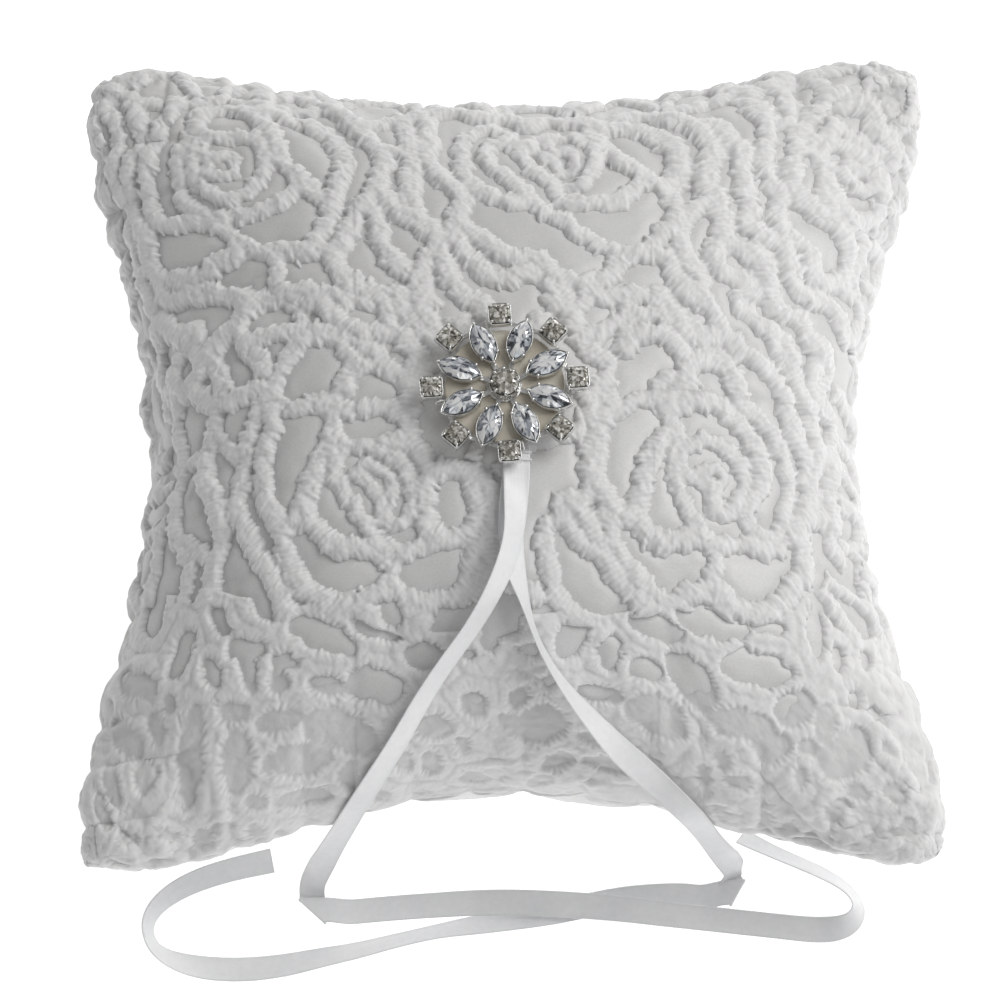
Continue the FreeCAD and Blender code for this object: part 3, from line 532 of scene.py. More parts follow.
def folded(P, W, T, fold):
    """Lays the strip over on itself in a flat fold: in to the crease, round it and out again on top.

    Returns the stations, their half width vectors (in half widths, leaning towards the crease)
    and their normals.
    """
    kx, ky, before, after, a_in, a_out = fold
    z_in, gap = 0.42, 0.42
    t1 = np.array([math.cos(math.radians(a_in)), math.sin(math.radians(a_in)), 0.0])
    t2 = np.array([math.cos(math.radians(a_out)), math.sin(math.radians(a_out)), 0.0])
    crease = (t1 + t2) / np.linalg.norm(t1 + t2)
    lean = crease.dot(t1) / math.sqrt(1 - crease.dot(t1) ** 2)
    low = np.array([kx, ky, z_in])
    high = low + np.array([0, 0, 2 * gap])
    on_table = np.arange(len(P))[P[:, 2] < 12.0]
    mid = on_table[np.argmin(np.hypot(P[on_table, 0] - kx, P[on_table, 1] - ky))]
    s = np.concatenate([[0], np.cumsum(np.linalg.norm(np.diff(P, axis=0), axis=1))])
    i0 = int(np.searchsorted(s, s[mid] - before))
    i1 = int(np.searchsorted(s, s[mid] + after))
    land = low - t1 * 2.4
    come = np.concatenate([bezier(P[i0], T[i0], land, t1)[1:], bezier(land, t1, low, t1)[1:]])
    off = high + t2 * 2.4
    leave = np.concatenate([bezier(high, t2, off, t2)[:-1], bezier(off, t2, P[i1], T[i1])[:-1]])
    sign = 1.0 if W[i0].dot(crease - t1 * crease.dot(t1)) > 0 else -1.0
    w1 = sign * (crease - t1 * crease.dot(t1)) / np.linalg.norm(crease - t1 * crease.dot(t1))
    w2 = sign * (crease - t2 * crease.dot(t2)) / np.linalg.norm(crease - t2 * crease.dot(t2))
    up = np.array([0, 0, 1.0])
    out = t1 - crease * crease.dot(t1)
    out /= np.linalg.norm(out)
    f1 = np.clip(1 - np.linalg.norm(come - low, axis=1) / 7.0, 0, 1)[:, None]
    g1 = np.linspace(0, 1, len(come))[:, None] ** 0.8
    Win = W[i0] * (1 - g1) + w1 * g1
    Tin = np.gradient(np.concatenate([P[i0:i0 + 1], come]), axis=0)[1:]
    Tin /= np.linalg.norm(Tin, axis=1, keepdims=True)
    Win -= Tin * np.sum(Win * Tin, axis=1, keepdims=True)
    Win /= np.linalg.norm(Win, axis=1, keepdims=True)
    Nin = np.cross(Tin, Win)
    Win = Win + Tin * (sign * lean * f1)
    s_in = 1.0 if Nin[-1].dot(up) > 0 else -1.0
    ang = np.linspace(0, math.pi, 9)[1:-1]
    turn = low + up * gap + (-up * np.cos(ang)[:, None] + out * np.sin(ang)[:, None]) * gap
    Nturn = s_in * (up * np.cos(ang)[:, None] - out * np.sin(ang)[:, None])
    Wturn = np.repeat((w1 + t1 * sign * lean)[None, :], len(ang), axis=0)
    f2 = np.clip(1 - np.linalg.norm(leave - high, axis=1) / 7.0, 0, 1)[:, None]
    g2 = np.linspace(0, 1, len(leave))[:, None]
    Wout = w2 * (1 - g2) - W[i1] * g2
    Tout = np.gradient(np.concatenate([leave, P[i1:i1 + 1]]), axis=0)[:-1]
    Tout /= np.linalg.norm(Tout, axis=1, keepdims=True)
    Wout -= Tout * np.sum(Wout * Tout, axis=1, keepdims=True)
    Wout /= np.linalg.norm(Wout, axis=1, keepdims=True)
    Nout = np.cross(Tout, Wout)
    Wout = Wout + Tout * (sign * lean * f2)
    P2 = np.concatenate([P[:i0 + 1], come, turn, leave, P[i1:]])
    W2 = np.concatenate([W[:i0 + 1], Win, Wturn, Wout, -W[i1:]])
    N0 = np.cross(T, W)
    N2 = np.concatenate([N0[:i0 + 1], Nin, Nturn, Nout, -N0[i1:]])
    print("fold at", kx, ky, "half angle", round(math.degrees(math.acos(crease.dot(t1))), 1), "stations", i0, i1, len(P2))
    return P2, W2, N2


def ribbon(name, route, slack_seed, fold):
    """Flat satin ribbon along a route, square-cut at its end."""
    # the strip runs on a little way in under the brooch, where it is folded
    route = [(route[0][0], route[0][1] + 4.0, route[0][2], 0)] + route
    line = route_spline(name + "_line", route)
    P, at, share, length = along(line, 0.30)
    P = smooth_rows(P, 6)
    n = len(P)
    m = len(route)
    ctrl = np.clip(np.arange(m) - 0.5, 0, m - 2) / (m - 2)     # where each route point sits on the spline
    roll = np.interp(share, ctrl, [q[3] for q in route])
    roll = smooth_rows(roll[:, None], 160)[:, 0]
    ups = np.array([pillow_up(q[:3]) for q in route])
    U = np.stack([np.interp(share, ctrl, ups[:, k]) for k in range(3)], -1)
    U = smooth_rows(U, 160)
    T = np.gradient(P, axis=0)
    T /= np.linalg.norm(T, axis=1, keepdims=True)
    Wd = np.zeros_like(P)
    side = None
    for i in range(n):
        t = T[i]
        u = U[i] - t * U[i].dot(t)
        u /= np.linalg.norm(u)
        flat = np.cross(u, t)
        a = math.radians(roll[i])
        w = flat * math.cos(a) + u * math.sin(a)
        if side is not None and w.dot(side) < 0:
            w = -w
        side = w
        Wd[i] = w
    Wd = smooth_rows(Wd, 60)
    Wd -= T * np.sum(Wd * T, axis=1, keepdims=True)
    Wd /= np.linalg.norm(Wd, axis=1, keepdims=True)
    P, Wd, Nn = folded(P, Wd, T, fold)
    n = len(P)
    at = np.concatenate([[0], np.cumsum(np.linalg.norm(np.diff(P, axis=0), axis=1))])
    length = float(at[-1])
    # section: a thin strip with slightly thicker woven edges; c across, h thickness
    cs = [-1.0, -0.965, -0.90, -0.84, -0.55, 0.0, 0.55, 0.84, 0.90, 0.965, 1.0]
    th = [0.30, 0.85, 1.0, 0.72, 0.70, 0.70, 0.70, 0.72, 1.0, 0.85, 0.30]
    sec = [(c, h) for c, h in zip(cs, th)] + [(c, -h) for c, h in zip(cs[::-1], th[::-1])]
    k = len(sec)
    r = np.random.default_rng(slack_seed)
    picot = 0.5 + 0.5 * np.cos(2 * np.pi * at / 0.95)
    wave = np.interp(at, np.linspace(0, length, int(length / 9) + 2), r.uniform(-1, 1, int(length / 9) + 2))
    wave = smooth_rows(wave[:, None], 90)[:, 0]
    V = np.zeros((n, k, 3))
    across = np.zeros((n, k))
    for j, (c, h) in enumerate(sec):
        half = RIBBON_W / 2 * c
        if abs(c) > 0.95:
            half = half * (1 + 0.035 * picot)
        cup = 0.10 * wave * (c * c - 0.4)                       # faint curl across the strip
        V[:, j] = P + Wd * (half[:, None] if np.ndim(half) else half) + Nn * (h * RIBBON_T / 2 + cup)[:, None]
        across[:, j] = c
    idx = np.arange(n * k).reshape(n, k)
    a_, b_ = idx[:-1], idx[1:]
    faces = np.stack([a_, np.roll(a_, -1, 1), np.roll(b_, -1, 1), b_], -1).reshape(-1, 4)
    faces = [tuple(f) for f in faces]
    faces.append(tuple(idx[0]))
    faces.append(tuple(idx[-1][::-1]))
    ob = add_mesh(name, V.reshape(-1, 3), faces, RIBBON, True,
                  point_attrs=[("across", across), ("along", np.repeat(at, k))])
    print(name, "length mm", round(length, 1), "lowest z", round(float(V[..., 2].min()), 3))
    return ob, P, length


# each tail is laid over in one flat fold on the table: its place, how far before and after it the
# run is bent towards it, and the directions in and out
FOLD_L = (-47.2, -99.6, 7.5, 10.0, -88.0, 1.0)
FOLD_R = (52.3, -96.2, 8.0, 11.0, -61.0, -176.0)
tail_l, path_l, len_l = ribbon("ribbon_tail_left", LEFT, 5, FOLD_L)
tail_r, path_r, len_r = ribbon("ribbon_tail_right", RIGHT, 6, FOLD_R)
place(tail_l, "ribbon", "ribbon_left_tail")
place(tail_r, "ribbon", "ribbon_right_tail")

# drawn figures of the lace: width in mm, then points across and up the flat cloth in mm
STROKES = [
    (3, [(-34.8,-17.3),(-32.9,-19.4),(-30,-22.4),(-29.5,-25.4)]),
    (4, [(-39,-10),(-34.3,-10.6),(-29.5,-11.6),(-25.5,-14.7),(-23.5,-18.4),(-22.5,-22.4),(-22.5,-25.9)]),
    (3, [(-36.2,-16.3),(-33.8,-14.7),(-30.5,-16.3),(-28,-18.9),(-27.5,-22.4),(-28,-24.9)]),
    (3.5, [(-29.5,-25.9),(-28.5,-28.9),(-25.5,-28.9),(-23.5,-26.4)]),
    (4, [(-40.4,-12.1),(-40.9,-15.8),(-39,-19.9),(-36.7,-23.9),(-33.8,-28.4),(-31.4,-31.8),(-29,-34.6),(-25,-36.5)]),
    (5, [(-41.8,-7.9),(-43.6,-10.6),(-44.9,-14.7),(-46.6,-18.9),(-47.9,-23.4),(-45.8,-27.4),(-42.2,-31.8),(-37.6,-34.2),(-32.4,-34.2)]),
    (4, [(-40.9,-1.1),(-40.9,-4.8),(-39.9,-8.5),(-38.1,-10.6)]),
    (4.5, [(-55.7,2.1),(-52.1,0.5),(-48.4,0.5),(-44.4,1.1),(-41.3,-2.1)]),
    (4.5, [(-39.9,-1.1),(-36.2,-1.6),(-31.4,-1.1),(-27.5,-1.6),(-24.5,-4.2),(-23,-7.9)]),
    (5, [(-38.1,5.3),(-36.2,8.5),(-32.4,9.5),(-28.5,8.5),(-24.5,5.3),(-23,1.1),(-23,-2.1)]),
    (4.5, [(-38.1,3.7),(-39,4.8),(-40.4,1.6),(-39.9,-1.1)]),
    (5, [(-55.7,1.1),(-55.7,-4.2),(-58.1,-9),(-58.4,-14.2),(-57.7,-19.9),(-54.9,-24.9),(-50.9,-26.9),(-47.9,-24.4)]),
    (5, [(-54.5,-25.9),(-52.9,-27.9),(-52.9,-31.8),(-51.7,-36),(-48.8,-40.2),(-44.9,-43.7),(-40.9,-46.7),(-36.7,-47.1)]),
    (4.5, [(-36.7,-47.1),(-33.4,-45.8),(-29.5,-44.1),(-27,-43.7)]),
    (4, [(-29,-37),(-27.5,-40.2),(-28.5,-43.3),(-25.5,-45.8),(-22.5,-47.9)]),
    (4.5, [(-25,-36.5),(-20.9,-35.1),(-16.3,-34.2),(-12.1,-33.2),(-9,-30.8),(-7.4,-26.9),(-8.5,-21.9),(-10,-17.3)]),
    (5, [(-27,-9.5),(-23,-10),(-19.9,-13.7),(-17.9,-17.3),(-14.2,-16.8),(-10.6,-17.3)]),
    (5, [(-18.4,-18.4),(-19.9,-21.9),(-19.9,-25.9),(-18.9,-30.4),(-16.8,-33.2)]),
    (5, [(-22.5,-47.9),(-17.9,-47.5),(-13.7,-47.1),(-9,-44.6),(-5.3,-40.6),(-4.2,-35.6),(-3.7,-30.8),(-3.7,-24.9)]),
    (4.5, [(-54.9,7.4),(-59.2,1.6),(-61.8,-4.2),(-63.6,-10.6),(-64,-16.3)]),
    (5, [(-64,-22.9),(-61.1,-27.9),(-58.8,-32.8),(-55.3,-37.9),(-52.5,-43.3),(-51.3,-47.1),(-49.2,-50.4)]),
    (3.5, [(-58.4,12.7),(-54.9,9),(-53.7,11.1),(-51.3,12.7),(-49.6,13.7)]),
    (4.5, [(-54.9,7.4),(-55.7,4.2),(-55.7,2.1)]),
    (5, [(-40.4,-47.1),(-36.2,-50.8),(-31.4,-53.9)]),
    (4.5, [(-22.5,-48.4),(-20.9,-51.6),(-24,-53.9)]),
    (5, [(-23,9),(-22.5,4.2),(-19.4,8.5)]),
    (4.5, [(-10,-17.3),(-6.4,-19.4),(-3.7,-24.9)]),
    (3, [(43.7,-18.4),(45.8,-19.9),(48.8,-18.9),(49.6,-17.3),(47.9,-15.3),(45.4,-16.3)]),
    (4, [(38.4,-12.7),(41.5,-10.6),(45,-9),(49.2,-10),(52.8,-12.7),(54.7,-16.3),(54.3,-20.4),(52,-23.9),(49.2,-25.9),(47.1,-25.4),(47.1,-22.9)]),
    (4, [(39.3,-13.7),(37.9,-17.3),(38.4,-20.9),(40.2,-24.9),(42.4,-28.4),(44.6,-30.8),(46.3,-33.7),(47.1,-37),(45.8,-40.2),(46.7,-43.3)]),
    (5.5, [(35.1,-10),(32.8,-13.2),(30.8,-18.4),(29.9,-23.4),(29.4,-27.9),(30.8,-31.3),(34.2,-33.7),(38.8,-33.2),(42.8,-31.3)]),
    (4, [(36,0.5),(36.5,-3.7),(38.4,-7.4),(38.8,-11.1)]),
    (5, [(38.8,-1.6),(43.7,0),(48.4,0),(52,-2.1),(54.7,-5.3),(57,-8.5),(58.8,-11.6),(60.2,-15.3)]),
    (5.5, [(41.5,3.7),(41.9,8.5),(45.4,11.1),(50,10.6),(52.8,7.4),(54.3,3.2),(55.5,0.5)]),
    (4, [(34.2,3.2),(37.4,6.4),(41.1,4.2),(38.4,1.6)]),
    (4, [(21.9,0),(24.9,-2.7),(28.9,0),(33.2,0.5),(36,0.5)]),
    (5, [(21.9,-4.8),(19.9,-9),(18.4,-13.7),(18.4,-17.8),(20.9,-22.4),(23.4,-25.9),(26.4,-27.9),(28.9,-27.9)]),
    (4.5, [(55.5,0.5),(59.9,-2.1),(62.7,-5.8),(65.3,-10.6),(66.6,-15.3),(66.3,-20.4),(65,-24.9),(62.7,-29.4),(61.6,-31.3)]),
    (4.5, [(46.3,-33.7),(50.8,-32.8),(55.1,-32.3),(59.5,-32.8),(63,-31.8)]),
    (4, [(60.2,-15.3),(58.4,-18.9),(56.2,-21.9),(54.7,-25.4),(56.6,-28.9),(60.6,-30.4)]),
    (5, [(22.9,-28.9),(22.9,-33.7),(25.9,-38.4),(28.9,-42.4),(32.3,-45.8),(35.6,-47.5),(38.4,-50.4)]),
    (5, [(36.5,-47.9),(40.2,-45),(45,-43.7),(47.5,-44.6),(50.4,-47.1),(54.3,-47.5),(58.4,-46.7),(62.3,-43.7),(65.3,-40.2),(68.5,-35.6),(69.1,-30.8),(69.1,-26.4)]),
    (5, [(15.3,-26.4),(18.4,-30.8),(20.4,-35.6),(22.9,-40.2),(25.9,-44.6),(29.4,-47.5),(32.3,-50.8)]),
    (5, [(53.2,15.3),(58.4,12.2),(63,9.5),(65.6,5.8),(66.3,0.5),(68.8,-4.2),(71.5,-9),(71.8,-14.2)]),
    (5.5, [(63.7,17.4),(67.9,13.2),(70.9,8.5),(73.5,3.7),(75.5,-1.6),(75.8,-6.4),(74.4,-12.7),(73.2,-18.9),(71.2,-23.9),(67.2,-28.9)]),
    (5, [(76,15.8),(76,10.1),(77.7,5.8),(82.5,3.2),(83,-4.2),(79.5,-12.1),(79.7,-19.4),(78.4,-26.9),(80,-30.8)]),
    (4, [(22.9,7.9),(22.9,3.7),(24.9,-2.7)]),
    (4.5, [(71.8,-14.2),(76.8,-10),(82,-4.8)]),
    (4.5, [(79.7,-19.4),(74.9,-22.9),(71.2,-23.9)]),
    (3, [(-68.7,69.2),(-68.4,65.2),(-64.7,63.7),(-62.5,65.6),(-63.2,69.9),(-66.7,69.6)]),
    (4, [(-69.1,75.1),(-71.6,71),(-72.3,65.2),(-69.7,60.2),(-65.7,57.4),(-61.8,57.4),(-57.7,60.6),(-55.7,66.3),(-56.5,72.7),(-59.9,75.1),(-64.3,75.4),(-67.4,75.7)]),
    (4, [(-70,84.3),(-70.7,78.3),(-73.8,73.4),(-75.3,68.5),(-75.9,63.3),(-75.3,57.8),(-72,55.3),(-67.1,50.6)]),
    (4.5, [(-70,83.4),(-66.4,86),(-61.1,85.2),(-56.5,81.4),(-53.3,74.1),(-52.1,67.4),(-48.8,62.5),(-45.3,57.8)]),
    (4.5, [(-65.7,51.9),(-61.1,52.3),(-56.1,52.8),(-51.7,54.9),(-47.9,58.2)]),
    (5, [(-54.5,84.6),(-49.2,81.7),(-43.6,78.9),(-39.5,73),(-37.6,65.9),(-39,59.8),(-40.4,53.2),(-42.2,46.7),(-44.9,42.6),(-47.5,39.8)]),
    (4.5, [(-76.8,83.7),(-79.9,78),(-82.1,73.4),(-83.7,67),(-84.5,59.8),(-82.7,54.5),(-75.3,52.8),(-69.1,51.5),(-64.7,47.1),(-60.3,43),(-53.3,40.7)]),
    (4.5, [(-52.5,42.1),(-47.5,39.8),(-41.8,39.8),(-39.5,34.5),(-35.7,31.6)]),
    (5, [(-86,52.3),(-87.5,47.1),(-85.8,41.2),(-78.5,39.3),(-72.6,38.8),(-68.4,41.2),(-65.7,41.6)]),
    (5.5, [(-85.8,40.2),(-83.5,35),(-76.2,35),(-71,33.5),(-64.7,31.1),(-58.4,29.1),(-53.7,30.1),(-48.4,27.1),(-42.7,27.1)]),
    (4, [(-53.3,39.3),(-54.1,34),(-53.7,30.1)]),
    (4, [(-84.5,89.3),(-76.5,88.5),(-69.7,88.2),(-64,90.8),(-59.9,88.7),(-53.3,87.1),(-47.1,86.6),(-41.3,89)]),
    (5, [(-41.3,90.6),(-36.7,82.8),(-31.9,75.1),(-29,66.7),(-30,59.4),(-27,52.3),(-23,49.3),(-18.9,44.4),(-15.3,41.6)]),
    (4.5, [(-28,70.3),(-22.5,67.4),(-23,59),(-24,51.9)]),
    (5, [(-30,57),(-33.8,52.8),(-36.7,47.1),(-38.6,41.6)]),
    (5, [(-30,46.7),(-28.5,39.3),(-24.5,34.5),(-19.9,30.1),(-20.9,24.6),(-18.9,18.9)]),
    (5, [(-89.2,35),(-84,27.6),(-79.4,23),(-73.5,18.9),(-67.7,21.5),(-63.6,24.6),(-62.2,28.1)]),
    (4.5, [(-64.7,24.6),(-63.6,19.4),(-58.8,13.2),(-57.7,10.6)]),
    (5, [(-74.7,19.4),(-75,14.8),(-77.1,11.1),(-72.3,5.3),(-68.1,4.8),(-62.9,5.8),(-57.7,6.4)]),
    (5, [(-42.7,27.6),(-39.9,22),(-35.3,17.9),(-30.9,17.9),(-24.5,16.3),(-22,13.7)]),
    (4, [(-49.2,27.1),(-48.8,20.5),(-50.9,15.3),(-53.3,11.1)]),
    (4.5, [(-48.8,16.9),(-44,17.4),(-39.5,16.3),(-36.7,11.6)]),
    (4, [(-84.5,84.9),(-84,77),(-88,71.3),(-89.7,64.1),(-89.7,57.8),(-87,51.9)]),
    (5, [(-37.2,29.6),(-32.4,29.1),(-29,25.1),(-27.5,19.4)]),
    (4.5, [(-95.8,89.5),(-91.1,83.4),(-91.4,76.7),(-93.6,70.6),(-92.7,63.7)]),
    (4.5, [(-92.3,95.5),(-87.3,91.9),(-84.5,84.9)]),
    (4.5, [(-92,57),(-91.6,49.8),(-90.9,43),(-89.2,35)]),
    (4.5, [(-88.7,29.6),(-90.2,23),(-89.2,15.3),(-84.2,7.4)]),
    (4.5, [(-79.4,21.5),(-83.5,17.4),(-82.1,11.1),(-77.1,11.1)]),
    (5, [(-66.7,-34.6),(-62.5,-40.6),(-61.1,-45.4),(-55.7,-49.2),(-50.5,-53.2),(-45.8,-57),(-41.3,-58.8),(-35.7,-58.4),(-30.9,-56.6)]),
    (5, [(-39,-50.8),(-34.8,-53.9),(-30.5,-55.9),(-26,-55.5),(-21.5,-52.4),(-17.9,-51.2)]),
    (4.5, [(-58.1,-37.4),(-54.1,-42.8),(-51.7,-47.5),(-50.5,-52)]),
    (4.5, [(-66.4,-36),(-64.3,-41.5),(-63.2,-46.7),(-65.4,-50.8)]),
    (5, [(-74.7,-32.8),(-72,-37.9),(-71.3,-43.7),(-69.1,-48.8),(-70.7,-53.9),(-72.3,-57)]),
    (4.5, [(-57.3,-52),(-57.3,-57),(-57.3,-61.3)]),
    (4.5, [(-47.1,-55.5),(-47.9,-58.8),(-48.4,-63.7)]),
    (6, [(-72,-59.9),(-66.7,-60.9),(-61.1,-60.9),(-55.7,-63.7),(-50,-63.7),(-44.9,-65.3),(-39.9,-66.3),(-36.2,-68.5),(-32.4,-71.8),(-29.5,-74.9)]),
    (5, [(-71,-60.9),(-72.9,-64.7),(-74.1,-69.1),(-74.1,-74.7),(-72.9,-79.7)]),
    (6, [(-66.4,-62),(-66.7,-67.6),(-65.7,-72.7),(-65,-77.9),(-65.7,-82)]),
    (5, [(-57.3,-65),(-57.3,-69.7),(-55.3,-73.8),(-55.3,-79.7),(-56.5,-84.7)]),
    (5, [(-53.3,-73.2),(-50,-71.8),(-45.8,-72.1),(-42.7,-74.9),(-41.8,-79.2),(-39.5,-82.8)]),
    (5, [(-54.5,-80.5),(-50,-81.8),(-46.2,-82.3),(-42.2,-83.3),(-38.1,-80),(-35.3,-80),(-30.9,-80.3)]),
    (5, [(-72.9,-80.8),(-67.7,-82.5),(-63.6,-82.5),(-59.6,-80.3),(-56.5,-80.5)]),
    (6, [(-63.6,-84.9),(-58.4,-84),(-53.3,-87.8),(-48.4,-90.5),(-43.1,-89.6)]),
    (5, [(-93.2,-90.7),(-82.9,-89.1),(-77.1,-85.9),(-72.9,-82.3)]),
    (4.5, [(-79.9,-59.5),(-81.9,-62),(-81.9,-66),(-76.5,-68.8)]),
    (5, [(-91.1,-59.2),(-86.8,-65),(-84.2,-69.7),(-81.9,-73.5),(-77.4,-76.3),(-74.1,-75.8)]),
    (4.5, [(-100.2,-52),(-90.9,-57),(-85.3,-59.9),(-79.9,-59.5),(-79.1,-55.5),(-83.5,-51.6),(-90.4,-48.8),(-100,-48.8)]),
    (4.5, [(-37.6,-60.6),(-37.2,-64.3),(-36.2,-68.5)]),
    (5, [(-66.7,-87.5),(-61.8,-91.5),(-56.5,-92.2),(-51.7,-96.9),(-47.5,-97.2)]),
    (5, [(-94.5,-73.2),(-92.5,-79),(-89,-84.9),(-82.9,-89.1)]),
    (5, [(-32.4,-71.8),(-27.5,-71.2),(-24,-68.2),(-24.5,-63.7),(-24.5,-59.2)]),
    (5, [(-38.6,-83.7),(-36.7,-88.7),(-32.4,-92.8),(-26.5,-90),(-22,-87.1),(-18.9,-84)]),
    (4.5, [(-22,-76),(-18.4,-78.4),(-14.8,-79.5)]),
    (3, [(9,73.4),(11.6,69.2),(14.7,69.2),(15.8,64.1),(13.2,62.1),(10,66.3)]),
    (4, [(3.2,69.6),(4.2,65.6),(7.4,61.4),(11.1,58.2),(15.3,57),(18.9,59.4),(20.4,64.1),(19.9,70.6),(16.8,74.7),(12.1,76),(7.9,75.1),(4.8,72.7)]),
    (4.5, [(-3.7,72.7),(-4.8,66.7),(-1.6,62.1),(2.1,58.2),(4.8,53.6),(8.5,49.3),(12.7,46.7),(15.8,43),(19.9,40.2),(23.9,38.3),(27.4,37.4)]),
    (4.5, [(13.2,53.2),(16.8,51.5),(20.9,51.5),(24.9,51.9),(27.9,54.5)]),
    (4, [(-11.1,70.3),(-9.5,75.4),(-5.8,79.2),(-1.6,79.2),(1.1,76.4),(-2.1,72.7)]),
    (4.5, [(-11.1,70.3),(-10.6,64.4),(-9,59),(-5.8,55.3),(-2.1,53.2),(1.6,51.9)]),
    (5, [(-18.4,73.7),(-18.4,66.7),(-16.3,61.8),(-12.7,57.8),(-10.6,53.6),(-11.6,48.4),(-9.5,44.4),(-5.3,41.2),(-1.6,37.9),(2.7,36.4),(7.4,35.5)]),
    (5, [(-13.2,43.9),(-11.1,39.3),(-7.9,34.5),(-4.2,31.1),(0,30.1),(4.8,32.1)]),
    (5, [(8.5,33.5),(11.6,30.6),(16.3,29.6),(20.9,30.1),(23.4,32.1),(25.4,35)]),
    (5, [(19.9,76.4),(22.9,71.3),(26.4,65.9),(29.9,62.1),(32.8,60.2)]),
    (5.5, [(22.4,79.2),(26.9,79.5),(32.3,77.3),(36.5,73),(39.7,67.4),(39.3,61),(37.4,56.5)]),
    (5, [(32.8,59.4),(36,57.4),(38.4,52.8),(38.4,46.7),(35.1,42.1),(32.8,38.8),(29.4,37.4)]),
    (5, [(32.8,37.9),(36.5,36.9),(38.4,33.5),(40.6,29.6),(43.3,26.1)]),
    (5, [(-23,73),(-22,64.8),(-22.5,57.4),(-22,51.5)]),
    (5, [(-24.5,49.8),(-20.4,48),(-16.8,43.9),(-15.8,40.2),(-18.9,36.4),(-20.9,31.6),(-20.9,27.1),(-18.9,21.5),(-17.4,17.4)]),
    (5, [(-16.8,39.3),(-15.3,34.5),(-13.7,30.6),(-10.6,26.1),(-6.4,24.1),(-5.3,21.5)]),
    (4.5, [(9.5,29.1),(13.2,26.1),(15.3,23),(18.9,26.6),(22.4,25.6),(27.4,26.6),(32.8,26.6),(35.6,23),(39.3,19.4),(42.8,16.3)]),
    (4.5, [(11.6,23),(15.3,21.5),(14.7,17.9),(16.3,14.8),(19.4,11.1),(22.4,9.5)]),
    (4, [(26.9,26.6),(27.4,21.5),(26.9,16.3),(25.9,12.7)]),
    (5, [(26.9,12.7),(29.9,15.8),(33.7,16.9),(37.4,15.8),(40.6,12.2)]),
    (5, [(-24.5,23),(-21.5,19.4),(-18.4,15.8),(-16.3,12.7)]),
    (5, [(-24.5,15.3),(-22,11.6),(-19.4,9)]),
    (5, [(-24.5,84),(-18.9,86),(-13.2,87.9),(-5.8,85.2),(-0.5,86.6),(5.3,82.3),(10.6,84.3),(17.3,82.6),(21.9,81.1)]),
    (3.5, [(78.7,64.4),(82,61.8),(84.2,63.7),(83.3,66.3),(80,67)]),
    (4, [(71.2,67.8),(73,63.3),(75.5,59.4),(79,56.1),(83.5,54.5),(88,56.1)]),
    (4.5, [(70.9,69.6),(73.5,72.4),(77.7,71.7),(82.5,70.3),(86.4,68.1),(88.2,63.7),(89.1,59)]),
    (4, [(73.5,77.6),(70.6,73.7),(68.8,70.6),(69.7,69.6)]),
    (4.5, [(73.5,78.3),(77.4,76),(80.8,73.4),(84.9,71.7)]),
    (5, [(75.5,85.4),(71.2,83.7),(67.9,80.4),(66,74.4),(65.3,68.5),(65.3,62.1),(67.2,57.4),(70,54.9),(74.4,52.3),(78.7,49.8),(81.8,46.7),(83.7,42.6),(83.7,39.3)]),
    (6, [(73.2,87.7),(77.7,87.1),(81.3,84.3),(84,79.5),(87.5,77),(89.8,72.7)]),
    (5, [(82.5,93.4),(87.5,95.5),(93.3,93.4),(95.7,88.2),(93.3,82.6),(90,79.2)]),
    (4, [(72.1,63.3),(73,58.2),(76.3,53.6),(79,50.6)]),
    (5, [(55.1,93.1),(56.2,84.6),(58.8,79.5),(59.2,73.7),(58.4,69.2),(59.2,63.7),(61.3,59.8),(63.3,57),(63,51.9),(64,48.4)]),
    (5, [(64,48),(68.2,44.8),(70.9,42.1),(73,38.3),(76.6,36.9),(81.8,37.4),(86.1,36.4)]),
    (5.5, [(36.5,82.6),(41.5,79.2),(45,74.4),(47.5,68.9),(46.3,62.9),(45.8,58.2),(47.9,54.5)]),
    (5, [(49.2,76.4),(51.2,71.7),(53.9,67.8),(53.6,62.1),(54.3,57.8),(56.2,53.2),(55.5,48.4),(58.8,45.3),(62.3,43.9)]),
    (4.5, [(47.5,53.6),(43.7,51.1),(40.6,46.7),(40.2,42.1)]),
    (5.5, [(48.4,52.8),(50,47.5),(49.6,42.6),(47.9,38.3),(50.4,34.5),(54.7,32.6),(57.7,30.6)]),
    (5.5, [(57.7,39.3),(59.9,37.9),(61.3,32.6),(63,28.6),(66.6,26.1),(70.9,24.6),(73.5,21),(77.9,18.4)]),
    (5, [(64.3,43.9),(66.3,38.8),(68.2,34.5),(71.5,32.1),(76.3,31.6),(80.5,29.6),(83.7,26.1)]),
    (5, [(41.5,36.9),(44.6,31.6),(45.4,26.6),(48.4,22.5),(50.4,18.9),(53.2,16.3)]),
    (5, [(55.5,30.6),(54.7,26.6),(57.7,23.5),(61.3,21),(65.6,18.4),(68.2,15.3)]),
    (5, [(34.6,27.1),(37.9,23),(40.2,18.9),(43.3,16.9),(47.9,16.9)]),
    (4, [(85.7,40.2),(88.2,36),(90.2,31.1),(89.6,26.6)]),
    (4.5, [(30.8,85.4),(37.4,85.4),(44.1,87.4),(50.4,89.5),(55.1,93.1),(60.2,94.1),(65,96.7),(71.5,97.8),(77.9,100.4),(82.8,97.6)]),
    (4, [(63.3,86.3),(64.7,80.1),(61.6,78.3)]),
    (4, [(64.3,94.1),(66.9,94.8),(70.6,92.1),(73.2,88.5)]),
    (5, [(82.3,52.8),(85.9,51.5),(87.1,48),(86.8,43.9)]),
    (6, [(21.4,-46.3),(24.4,-50),(26.9,-53.9),(31.3,-56.6),(37.4,-55.1),(42.4,-55.5),(48.4,-55.1),(54.3,-53.6),(60.9,-53.2),(65.6,-50.4)]),
